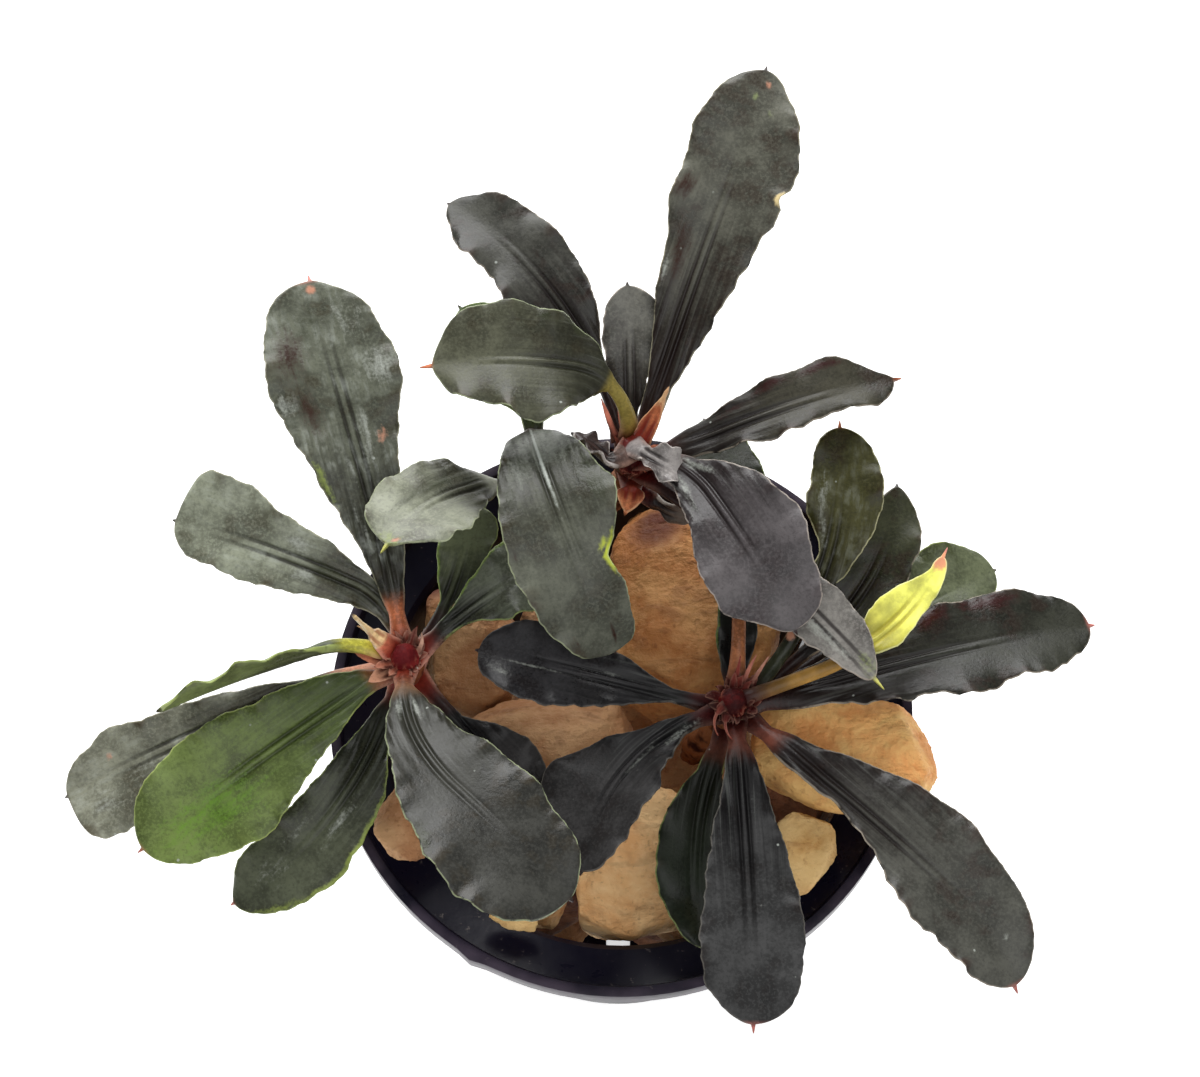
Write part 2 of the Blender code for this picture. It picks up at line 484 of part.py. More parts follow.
def leaf_ring(leaf, phases, centre, u, t):
    """Six points round a leaf's section: top left, middle, right, then below."""
    ahead, side, above = slope_frame(leaf, u)
    flat = min(1.0, max(0.0, t) / FLAT_AFTER)
    thick = 0.5 * (2.0 * STALK_RADIUS * (1.0 - flat) + BLADE_THICKNESS * flat)
    edge_thick = thick * EDGE_SHARE
    fold = math.radians(leaf.fold) * flat
    ring = []
    for sign, margin, phase in ((1.0, 0, phases[0]), (-1.0, 1, phases[1])):
        blade = half_width(leaf, t, margin)
        width = max(blade, STALK_RADIUS if t < leaf.widest else TIP_HALF_WIDTH)
        wave = leaf.ruffle * math.sin(math.tau * leaf.waves * t + phase)
        wave *= flat * min(1.0, blade / WAVE_FULL_WIDTH)
        edge = centre + side * (sign * width * math.cos(fold)) + above * (width * math.sin(fold) + wave)
        ring.append((edge + above * edge_thick, edge - above * edge_thick))
    top_left, low_left = ring[0]
    top_right, low_right = ring[1]
    return [top_left, centre + above * thick, top_right, low_right, centre - above * thick, low_left]


def make_leaf(leaf, seed, blade_stations):
    """One closed leaf: stalk, blade with waved margins, and the small pointed tip."""
    points = leaf_path(leaf)
    length = leaf.stalk + leaf.blade
    phases = ruffles(leaf, seed)
    stalk_steps = (0.0, 0.5 * leaf.stalk / length, leaf.stalk / length)
    stations = list(stalk_steps) + [(leaf.stalk + t * leaf.blade) / length for t in blade_stations]
    rings = []
    for u in stations:
        t = (u * length - leaf.stalk) / leaf.blade
        rings.append(leaf_ring(leaf, phases, path_point(points, u), u, t))
    ahead, side, above = slope_frame(leaf, 1.0)
    end = points[-1] + ahead * TIP_LENGTH
    across = side * TIP_RADIUS
    up = above * TIP_RADIUS
    rings.append([end + across + up, end + up, end - across + up,
                  end - across - up, end - up, end + across - up])
    bm = bmesh.new()
    skin_rings(bm, rings)
    return add_object(leaf.name, bm, leaf.colour, LEAF_SHARP)


def smooth_curve(points, count):
    """Read a smooth curve through the given points at evenly spaced parameters."""
    padded = [points[0] * 2.0 - points[1], *points, points[-1] * 2.0 - points[-2]]
    spans = len(points) - 1
    result = []
    for i in range(count + 1):
        place = spans * i / count
        k = min(int(place), spans - 1)
        f = place - k
        p0, p1, p2, p3 = padded[k:k + 4]
        result.append(0.5 * (2.0 * p1 + (p2 - p0) * f + (2.0 * p0 - 5.0 * p1 + 4.0 * p2 - p3) * f * f
                             + (3.0 * p1 - p0 - 3.0 * p2 + p3) * f ** 3))
    return result


def make_stem(stem):
    """A creeping stem as a knobbly tapered tube with closed ends."""
    points = smooth_curve([Vector(p) for p in stem.points], STEM_STEPS)
    radii = [value.x for value in smooth_curve([Vector((r, 0.0, 0.0)) for r in stem.radii], STEM_STEPS)]
    rings = []
    for i, centre in enumerate(points):
        ahead = (points[min(i + 1, STEM_STEPS)] - points[max(i - 1, 0)]).normalized()
        side = ahead.cross(Vector((0.0, 1.0, 0.0))).normalized()
        other = ahead.cross(side)
        radius = radii[i] * (1.0 + KNOB_DEPTH * math.sin(KNOB_STEP * i))
        rings.append([centre + (side * math.cos(a) + other * math.sin(a)) * radius
                      for a in (math.tau * k / STEM_SIDES for k in range(STEM_SIDES))])
    bm = bmesh.new()
    skin_rings(bm, rings)
    return add_object(stem.name, bm, "stem", LEAF_SHARP)


def half_extent(stone, way):
    """How far a stone reaches from its centre in a direction, taken as an ellipsoid."""
    back = stone_turn(stone).transposed() @ way
    return math.sqrt(sum((a * b) ** 2 for a, b in zip(stone.half, back)))


def stone_turn(stone):
    """The rotation of a stone."""
    return Euler((0.0, math.radians(stone.tilt), math.radians(stone.turn)), "XYZ").to_matrix()


def trim(bm, point, normal):
    """Cut off what lies beyond a plane and close the cut with a flat face."""
    geometry = bm.verts[:] + bm.edges[:] + bm.faces[:]
    cut = bmesh.ops.bisect_plane(bm, geom=geometry, dist=0.0001, plane_co=point, plane_no=normal,
                                 clear_outer=True)
    rim = [item for item in cut["geom_cut"] if isinstance(item, bmesh.types.BMEdge)]
    if rim:
        bmesh.ops.edgeloop_fill(bm, edges=rim)


def fit_in_pot(point):
    """Pull a point in from the pot's wall, and lift it off the flange."""
    radius = math.hypot(point.x, point.y)
    flange_top = POT_HEIGHT - LIP_STEP
    if radius > MOUTH_RADIUS - STONE_GAP and point.z > flange_top:
        clear = (POT_HEIGHT if radius > RIM_RADIUS - LIP_WIDTH - LIP_GAP else flange_top) + STONE_GAP
        return Vector((point.x, point.y, max(point.z, clear)))
    slope = (MOUTH_RADIUS - BASE_RADIUS + WALL) / flange_top
    limit = (BASE_RADIUS - WALL + slope * point.z - STONE_GAP) * POT_FACET
    if radius > limit:
        point = Vector((point.x * limit / radius, point.y * limit / radius, point.z))
    return Vector((point.x, point.y, max(point.z, WALL + STONE_GAP)))


def stone_ball(stone):
    """The blocky, slightly bumpy ball that a stone is cut from."""
    bm = bmesh.new()
    bmesh.ops.create_icosphere(bm, subdivisions=stone.detail, radius=1.0)
    shift = Vector(STONE_BUMP_SHIFT) * stone.seed
    turn = stone_turn(stone)
    centre = Vector(stone.centre)
    for vert in bm.verts:
        ray = vert.co.normalized()
        square = sum(abs(part) ** stone.square for part in ray) ** (-1.0 / stone.square)
        bump = STONE_FILL + STONE_BUMP * noise.noise(ray * STONE_BUMP_RATE + shift)
        vert.co = centre + turn @ Vector([a * b * square * bump for a, b in zip(ray, stone.half)])
    return bm


def break_chips(bm, stone):
    """Break flat faces off a stone, as on freshly crushed rock."""
    draw = random.Random(stone.seed)
    for _ in range(stone.chips):
        way = Vector([draw.gauss(middle, spread)
                      for middle, spread in zip((0.0, 0.0, CHIP_UPWARD), CHIP_SPREAD)]).normalized()
        depth = half_extent(stone, way) * draw.uniform(*CHIP_DEPTHS)
        trim(bm, Vector(stone.centre) + way * depth, way)


def press_neighbours(bm, stone):
    """Trim a stone flat half way to each neighbour that presses on it."""
    centre = Vector(stone.centre)
    for other in STONES:
        way = Vector(other.centre) - centre
        apart = way.length
        if other.name == stone.name or apart == 0.0:
            continue
        way.normalize()
        own = half_extent(stone, way)
        total = own + half_extent(other, way)
        if total * STONE_PRESS > apart:
            trim(bm, centre + way * (apart * own / total - 0.5 * STONE_GAP), way)


def make_stone(stone):
    """A broken stone, flat where neighbours press, that fits inside the pot."""
    bm = stone_ball(stone)
    break_chips(bm, stone)
    press_neighbours(bm, stone)
    for vert in bm.verts:
        vert.co = fit_in_pot(vert.co)
    bmesh.ops.remove_doubles(bm, verts=bm.verts, dist=MERGE_DISTANCE)
    bmesh.ops.triangulate(bm, faces=bm.faces)
    return add_object(stone.name, bm, stone.colour, STONE_SHARP)


def pot_profile():
    """Radius and height round the pot's section, from the middle of its underside."""
    lip_inner = RIM_RADIUS - LIP_WIDTH
    flange_outer = POT_HEIGHT - LIP_STEP
    flange_inner = flange_outer - FLANGE_SLOPE
    under = flange_inner - WALL
    return (
        (0.0, 0.0), (BASE_RADIUS, 0.0), (MOUTH_RADIUS + WALL, under), (lip_inner, under + RIM_THICKENING),
        (lip_inner, POT_HEIGHT - LIP_DROP), (RIM_RADIUS, POT_HEIGHT - LIP_DROP), (RIM_RADIUS, POT_HEIGHT),
        (lip_inner, POT_HEIGHT), (lip_inner - LIP_ROUNDING, flange_outer),
        (MOUTH_RADIUS + MOUTH_ROUNDING, flange_inner), (MOUTH_RADIUS, flange_inner - MOUTH_ROUNDING),
        (BASE_RADIUS - WALL, WALL), (0.0, WALL),
    )


def pot_body():
    """The turned body of the pot, before its slots are cut."""
    bm = bmesh.new()
    verts = [bm.verts.new((radius, 0.0, height)) for radius, height in pot_profile()]
    edges = [bm.edges.new(pair) for pair in zip(verts, verts[1:])]
    bmesh.ops.spin(bm, geom=verts + edges, cent=(0.0, 0.0, 0.0), axis=(0.0, 0.0, 1.0), angle=math.tau,
                   steps=POT_SEGMENTS, use_merge=True)
    bmesh.ops.remove_doubles(bm, verts=bm.verts, dist=0.001)
    return add_object("net_pot", bm, "pot", POT_SHARP)


def slot_cutter():
    """All the slots' cutting blocks as one guide object."""
    bm = bmesh.new()
    middle = 0.5 * (BASE_RADIUS + MOUTH_RADIUS)
    blocks = []
    for low, high in SLOT_TIERS:
        for i in range(SLOTS_AROUND):
            angle = math.tau * (i + 0.5) / SLOTS_AROUND
            blocks.append((angle, middle, SLOT_DEPTH, low, high))
    for i in range(BASE_SLOTS):
        inner, outer = BASE_SLOT_REACH
        angle = math.tau * i / BASE_SLOTS
        blocks.append((angle, 0.5 * (inner + outer), outer - inner, *BASE_SLOT_HEIGHTS))
    for angle, radius, depth, low, high in blocks:
        made = bmesh.ops.create_cube(bm, size=1.0)["verts"]
        bmesh.ops.scale(bm, vec=(depth, SLOT_WIDTH, high - low), verts=made)
        bmesh.ops.translate(bm, vec=(radius, 0.0, 0.5 * (low + high)), verts=made)
        turn = Euler((0.0, 0.0, angle)).to_matrix()
        bmesh.ops.rotate(bm, cent=(0.0, 0.0, 0.0), matrix=turn, verts=made)
    cutter = add_object("slot_guide", bm, "pot", POT_SHARP)
    cutter.hide_render = True
    cutter.display_type = "WIRE"
    return cutter


def make_pot():
    """The net pot: a turned body with rows of slots cut through wall and floor."""
    body = pot_body()
    cut = body.modifiers.new("slots", "BOOLEAN")
    cut.operation = "DIFFERENCE"
    cut.solver = "EXACT"
    cut.object = slot_cutter()
    return body


def clear_scene():
    """Remove every object that is in the scene."""
    for item in list(bpy.data.objects):
        bpy.data.objects.remove(item, do_unlink=True)


def main():
    """Build the pot, the stones, the stems, the leaves and the sheaths."""
    clear_scene()
    make_pot()
    for stone in STONES:
        make_stone(stone)
    for stem in STEMS:
        make_stem(stem)
    for seed, leaf in enumerate(LEAVES):
        make_leaf(leaf, seed, BLADE_STATIONS)
    for seed, sheath in enumerate(SHEATHS):
        make_leaf(sheath, seed, SHEATH_STATIONS)


if __name__ == "__main__":
    main()
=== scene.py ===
"""The looks of a bucephalandra plant in its net pot: leaves, stems, stones, pot and studio.

Tables are in millimetres and degrees, and meshes are in metres. The camera stands on the
-Y side of the plant and looks steeply down on it, +X is to its right, and the pot stands
on z = 0.
"""

from __future__ import annotations

import logging
import math
import random
from collections.abc import Mapping, Sequence
from dataclasses import dataclass, field, replace
from enum import Enum

import bmesh
import bpy
import numpy as np
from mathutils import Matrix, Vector, noise

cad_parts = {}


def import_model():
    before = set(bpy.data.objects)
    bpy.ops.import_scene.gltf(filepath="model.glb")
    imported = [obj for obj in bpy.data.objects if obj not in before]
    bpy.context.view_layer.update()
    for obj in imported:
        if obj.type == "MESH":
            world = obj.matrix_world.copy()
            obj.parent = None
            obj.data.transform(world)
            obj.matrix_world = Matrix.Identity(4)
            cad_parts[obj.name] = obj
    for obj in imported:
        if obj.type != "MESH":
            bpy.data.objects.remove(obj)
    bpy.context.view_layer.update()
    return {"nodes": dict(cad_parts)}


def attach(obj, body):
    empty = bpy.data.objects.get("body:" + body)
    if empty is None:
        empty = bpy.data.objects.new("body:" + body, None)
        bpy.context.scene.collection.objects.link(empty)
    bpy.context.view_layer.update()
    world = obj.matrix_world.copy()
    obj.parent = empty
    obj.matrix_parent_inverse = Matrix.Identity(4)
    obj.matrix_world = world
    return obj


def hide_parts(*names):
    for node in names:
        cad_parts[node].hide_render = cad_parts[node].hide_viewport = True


log = logging.getLogger("bucephalandra")

MM = 0.001
TAU = math.tau
Colour = tuple[float, float, float]
Point = tuple[float, float, float]


def shade(red: int, green: int, blue: int) -> Colour:
    """Turn a display colour of 0 to 255 into linear light.

    Args:
        red: the display value of red.
        green: the display value of green.
        blue: the display value of blue.

    Returns:
        The three linear values.
    """
    def linear(value: int) -> float:
        """One channel in linear light."""
        part = value / 255.0
        return part / 12.92 if part <= 0.04045 else ((part + 0.055) / 1.055) ** 2.4
    return linear(red), linear(green), linear(blue)


def smooth_step(low: float, high: float, value: np.ndarray) -> np.ndarray:
    """Rise smoothly from 0 at low to 1 at high.

    Args:
        low: where the rise starts.
        high: where it ends.
        value: the places asked for.

    Returns:
        The height of the rise at each place.
    """
    part = np.clip((value - low) / (high - low), 0.0, 1.0)
    return part * part * (3.0 - 2.0 * part)


def smooth_curve(place: np.ndarray, values: np.ndarray) -> np.ndarray:
    """Read a smooth curve through evenly spaced values.

    Args:
        place: where it is read, 0 at the first value and 1 at the second.
        values: what the curve passes through.

    Returns:
        The curve's value at each place.
    """
    padded = np.concatenate([[2 * values[0] - values[1]], values, [2 * values[-1] - values[-2]]])
    k = np.minimum(place.astype(int), len(values) - 2)
    f = place - k
    p0, p1, p2, p3 = padded[k], padded[k + 1], padded[k + 2], padded[k + 3]
    return 0.5 * (2 * p1 + (p2 - p0) * f + (2 * p0 - 5 * p1 + 4 * p2 - p3) * f ** 2
                  + (3 * p1 - p0 - 3 * p2 + p3) * f ** 3)


def stacked(*parts: np.ndarray | float) -> np.ndarray:
    """Join rows, columns and single numbers into one vector for each row and column."""
    return np.stack(np.broadcast_arrays(*parts), -1)


class Signal:
    """A value on its way between shader nodes, with sums and products written as Python."""

    def __init__(self, bench: Bench, socket: bpy.types.NodeSocket) -> None:
        """Wrap one output socket.

        Args:
            bench: where its node stands.
            socket: the socket.
        """
        self.bench = bench
        self.socket = socket

    def __add__(self, other: Operand) -> Signal:
        """Add a value."""
        return self.bench.maths("ADD", self, other)

    def __sub__(self, other: Operand) -> Signal:
        """Take a value away."""
        return self.bench.maths("SUBTRACT", self, other)

    def __rsub__(self, other: Operand) -> Signal:
        """Take this away from a value."""
        return self.bench.maths("SUBTRACT", other, self)

    def __mul__(self, other: Operand) -> Signal:
        """Multiply by a value."""
        return self.bench.maths("MULTIPLY", self, other)

    def __abs__(self) -> Signal:
        """The size without the sign."""
        return self.bench.maths("ABSOLUTE", self)

    def rise(self, low: float, high: float) -> Signal:
        """A smooth rise from 0 at low to 1 at high; low above high makes it a fall.

        Args:
            low: the value that gives 0.
            high: the value that gives 1.

        Returns:
            The height of the rise.
        """
        ends = {1: low, 2: high} if low < high else {1: high, 2: low, 3: 1.0, 4: 0.0}
        made = self.bench.node("ShaderNodeMapRange", {"interpolation_type": "SMOOTHSTEP"},
                               {"Value": self, **ends})
        return Signal(self.bench, made.outputs[0])


Operand = Signal | float | Colour


class Bench:
    """Where one procedural material is put together."""

    def __init__(self, name: str) -> None:
        """Start an empty material of that name.

        Args:
            name: the material's name.
        """
        self.material = bpy.data.materials.new(name)
        self.material.use_nodes = True
        self.tree = self.material.node_tree
        self.shader = self.tree.nodes["Principled BSDF"]

    def feed(self, socket: bpy.types.NodeSocket, value: Operand) -> None:
        """Link a signal to a socket, or set the socket to a number or a colour.

        Args:
            socket: the socket.
            value: what it gets.
        """
        if isinstance(value, Signal):
            self.tree.links.new(value.socket, socket)
        elif isinstance(value, tuple) and socket.type == "RGBA":
            socket.default_value = (*value, 1.0)
        else:
            socket.default_value = value

    def node(self, kind: str, settings: Mapping[str, object],
             values: Mapping[str | int, Operand]) -> bpy.types.Node:
        """Add a node.

        Args:
            kind: the node's type.
            settings: its own settings, set first.
            values: a value or an incoming signal for each of its sockets.

        Returns:
            The new node.
        """
        made = self.tree.nodes.new(kind)
        for key, value in settings.items():
            setattr(made, key, value)
        for key, value in values.items():
            self.feed(made.inputs[key], value)
        return made

    def maths(self, operation: str, *values: Operand) -> Signal:
        """Add one Math node on numbers and signals."""
        made = self.node("ShaderNodeMath", {"operation": operation}, dict(enumerate(values)))
        return Signal(self, made.outputs[0])

    def blend(self, factor: Operand, first: Operand, second: Operand) -> Signal:
        """Mix two colours.

        Args:
            factor: 0 for the first, 1 for the second.
            first: a colour or a signal.
            second: a colour or a signal.

        Returns:
            The mixed colour.
        """
        made = self.node("ShaderNodeMix", {"data_type": "RGBA"}, {0: factor, 6: first, 7: second})
        return Signal(self, made.outputs[2])

    def layered(self, ground: Operand, *layers: tuple[Operand, Operand]) -> Signal:
        """Lay colours over a ground.

        Args:
            ground: the lowest colour.
            layers: how strongly each layer shows and its colour, from the lowest up.

        Returns:
            The mixed colour.
        """
        for factor, colour in layers:
            ground = self.blend(factor, ground, colour)
        return ground

    def place(self) -> Signal:
        """Where a surface point is, in metres, in the object's own space."""
        return Signal(self, self.node("ShaderNodeTexCoord", {}, {}).outputs["Object"])

    def attribute(self, name: str) -> tuple[Signal, Signal, Signal]:
        """The three parts of a vector that the mesh carries.

        Args:
            name: the vector's name.

        Returns:
            Its three parts.
        """
        found = self.node("ShaderNodeAttribute", {"attribute_name": name}, {})
        parts = self.node("ShaderNodeSeparateXYZ", {}, {0: Signal(self, found.outputs["Vector"])})
        return tuple(Signal(self, socket) for socket in parts.outputs)

    def tint(self, name: str) -> tuple[Signal, Signal]:
        """The colour that the mesh carries, and its strength."""
        found = self.node("ShaderNodeAttribute", {"attribute_name": name}, {})
        return Signal(self, found.outputs["Color"]), Signal(self, found.outputs["Alpha"])

    def scaled(self, colour: Signal, share: float) -> Signal:
        """Make a colour darker or brighter by a share."""
        made = self.node("ShaderNodeVectorMath", {"operation": "SCALE"}, {0: colour, 3: share})
        return Signal(self, made.outputs[0])

    def vector(self, x: Operand, y: Operand, z: Operand) -> Signal:
        """Join three values into a vector."""
        return Signal(self, self.node("ShaderNodeCombineXYZ", {}, {0: x, 1: y, 2: z}).outputs[0])

    def shifted(self, place: Signal, shift: Point = (0.0, 0.0, 0.0),
                scale: Point = (1.0, 1.0, 1.0)) -> Signal:
        """Scale a place on each axis and move it."""
        made = self.node("ShaderNodeMapping", {}, {"Vector": place, "Location": shift, "Scale": scale})
        return Signal(self, made.outputs[0])

    def grain(self, place: Signal, scale: float, detail: float = 2.0, rough: float = 0.5,
              distortion: float = 0.0) -> Signal:
        """Soft noise.

        Args:
            place: where the noise is read.
            scale: how many swells there are to a unit of place.
            detail: how many finer layers lie on it.
            rough: how strong those layers are.
            distortion: how much the swells are drawn out of shape.

        Returns:
            The noise, from about 0.3 to 0.7.
        """
        made = self.node("ShaderNodeTexNoise", {}, {
            "Vector": place, "Scale": scale, "Detail": detail, "Roughness": rough,
            "Distortion": distortion})
        return Signal(self, made.outputs[0])

    def dots(self, place: Signal, scale: float) -> Signal:
        """The distance to the nearest of many scattered points."""
        made = self.node("ShaderNodeTexVoronoi", {}, {"Vector": place, "Scale": scale})
        return Signal(self, made.outputs["Distance"])

    def relief(self, height: Signal, depth: float) -> Signal:
        """Turn a height into a bumped normal.

        Args:
            height: the height, of about 0 to 1.
            depth: what a height of 1 stands for, in metres.

        Returns:
            The normal.
        """
        made = self.node("ShaderNodeBump", {}, {"Height": height, "Distance": depth, "Strength": 1.0})
        return Signal(self, made.outputs[0])

    def surface(self, **values: Operand) -> bpy.types.Material:
        """Set the sockets of the shader, named with _ for a space.

        Args:
            values: a value or a signal for each socket.

        Returns:
            The finished material.
        """
        for key, value in values.items():
            self.feed(self.shader.inputs[key.replace("_", " ")], value)
        return self.material


class Finish:
    """What every kind of finish shares: one material, found again by its name."""

    name: str

    def material(self) -> bpy.types.Material:
        """The finish's material, made at its first use."""
        return bpy.data.materials.get(self.name) or self.mix(Bench(self.name))

    def mix(self, bench: Bench) -> bpy.types.Material:
        """Put the material together on an empty bench."""
        raise NotImplementedError


class Slot(Enum):
    """The finishes that the model's record names."""

    POT = "pot"
    LEAF_DARK = "leaf_dark"
    LEAF_GREEN_GREY = "leaf_green_grey"
    LEAF_GREEN = "leaf_green"
    LEAF_YELLOW = "leaf_yellow"
    SHEATH = "sheath"
    STEM = "stem"
    STONE_TAN = "stone_tan"
    STONE_ORANGE = "stone_orange"
    STONE_PALE = "stone_pale"
    STONE_DARK = "stone_dark"


def deselect() -> None:
    """Leave nothing selected and no object in edit mode."""
    if bpy.context.object and bpy.context.object.mode != "OBJECT":
        bpy.ops.object.mode_set(mode="OBJECT")
    bpy.ops.object.select_all(action="DESELECT")


def choose(*pieces: bpy.types.Object) -> None:
    """Select these pieces alone, the first one active.

    Args:
        pieces: the pieces.
    """
    deselect()
    for piece in pieces:
        piece.select_set(True)
    bpy.context.view_layer.objects.active = pieces[0]


def reshape(piece: bpy.types.Object, kind: str, **settings: object) -> None:
    """Apply a modifier to the active piece.

    Args:
        piece: the piece.
        kind: the modifier's type.
        settings: its settings.
    """
    modifier = piece.modifiers.new(kind.lower(), kind)
    for key, value in settings.items():
        setattr(modifier, key, value)
    bpy.ops.object.modifier_apply(modifier=modifier.name)


def settle(piece: bpy.types.Object, slot: Slot, *nodes: str) -> None:
    """Hand a finished piece to the frame.

    Args:
        piece: the piece, in place.
        slot: the record's finish that it wears; not used.
        nodes: the model's solids that it stands for.
    """
    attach(piece, "root")
    if nodes:
        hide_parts(*nodes)
    log.info("%s: %d faces", piece.name, len(piece.data.polygons))


def rolled_grid(name: str, places: np.ndarray,
                values: Mapping[str, np.ndarray]) -> bpy.types.Object:
    """Roll a flat grid into a closed skin, such as a leaf or a stem.

    Args:
        name: the piece's name.
        places: rows by columns of points in metres. The last column lies on the first,
            and the first and the last row are each a single point.
        values: rows by columns of vectors or colours that the mesh carries.

    Returns:
        The closed, smooth piece.
    """
    rows, columns = places.shape[:2]
    deselect()
    bpy.ops.mesh.primitive_grid_add(x_subdivisions=columns - 1, y_subdivisions=rows - 1, size=2.0)
    piece = bpy.context.object
    piece.name = name
    mesh = piece.data
    mesh.name = name
    flat = np.empty(len(mesh.vertices) * 3, np.float32)
    mesh.vertices.foreach_get("co", flat)
    flat = flat.reshape(-1, 3)
    column = np.rint((flat[:, 0] + 1.0) * 0.5 * (columns - 1)).astype(int)
    row = np.rint((flat[:, 1] + 1.0) * 0.5 * (rows - 1)).astype(int)
    mesh.vertices.foreach_set("co", places[row, column].astype(np.float32).ravel())
    for key, value in values.items():
        picked = value[row, column].astype(np.float32)
        kind, part = {3: ("FLOAT_VECTOR", "vector"), 4: ("FLOAT_COLOR", "color")}[picked.shape[1]]
        store = mesh.attributes.new(key, kind, "POINT")
        store.data.foreach_set(part, picked.ravel())
    bpy.ops.object.mode_set(mode="EDIT")
    bpy.ops.mesh.select_all(action="SELECT")
    bpy.ops.mesh.remove_doubles(threshold=2e-7)
    bpy.ops.mesh.normals_make_consistent(inside=False)
    bpy.ops.object.mode_set(mode="OBJECT")
    bpy.ops.object.shade_smooth()
    return piece


# Pale chalk for the chalky film and the specks, also used for painted highlights: along the ridge of the
# large middle leaf and in thin lines near the stalks.
CHALK_AND_SHEEN = shade(178, 184, 176)
UNDERSIDE = shade(84, 84, 64)
MEMBRANE = shade(206, 160, 138)
ORANGE_TIP = shade(214, 128, 92)
PINK_TIP = shade(196, 118, 108)
CREAM_TIP = shade(228, 186, 138)
YELLOW_TIP = shade(176, 174, 92)
BROWN_FLUSH = shade(46, 22, 12)
RED_FLUSH = shade(48, 16, 14)
DEEP_OLIVE = shade(48, 52, 34)
ORANGE_SPOT = shade(186, 132, 106)
LIME_SCAR = shade(176, 186, 62)
CREAM_SCAR = shade(226, 204, 150)
YELLOW_EDGE = shade(134, 148, 72)
GREEN_EDGE = shade(104, 128, 52)
GREEN_DOT = shade(128, 138, 96)
# Pale grey patches on the blades: mostly painted highlights and sheen, and chalky bloom on a few leaves.
PALE_SHEEN_AND_BLOOM = shade(160, 164, 156)
DARK_STALK = shade(42, 24, 22)


@dataclass(frozen=True)
class Crown:
    """The head of a creeping stem, from which leaves fan out.

    red is the colour into which the feet of its leaves fade, and film how pale the thin
    skins along them are.
    """

    x: float
    y: float
    z: float
    red: Colour
    film: float


LEFT = Crown(-19.8, 1.8, 60.0, shade(126, 42, 30), 0.45)
RIGHT = Crown(10.2, -2.5, 60.0, shade(50, 8, 9), 0.08)
TOP = Crown(1.0, 20.7, 62.0, shade(84, 16, 13), 0.25)
MIDDLE = Crown(-8.3, 20.4, 56.5, shade(84, 16, 13), 0.25)


@dataclass(frozen=True)
class Mark:
    """A spot, scar or patch on a blade.

    along is a fraction of the blade, across a fraction of its half width with the left
    side positive, long and wide its reach in millimetres. A strength below about 0.8
    leaves it broken up into grains.
    """

    colour: Colour
    along: float
    across: float
    long: float
    wide: float
    strength: float = 1.0


def spots(colour: Colour, *rows: tuple[float, ...]) -> tuple[Mark, ...]:
    """Marks of one colour, each row with the other values of its mark."""
    return tuple(Mark(colour, *row) for row in rows)


@dataclass(frozen=True)
class Nick:
    """A bite out of the margin: its place along the blade, its side, depth and length."""

    along: float
    side: float
    deep: float
    long: float


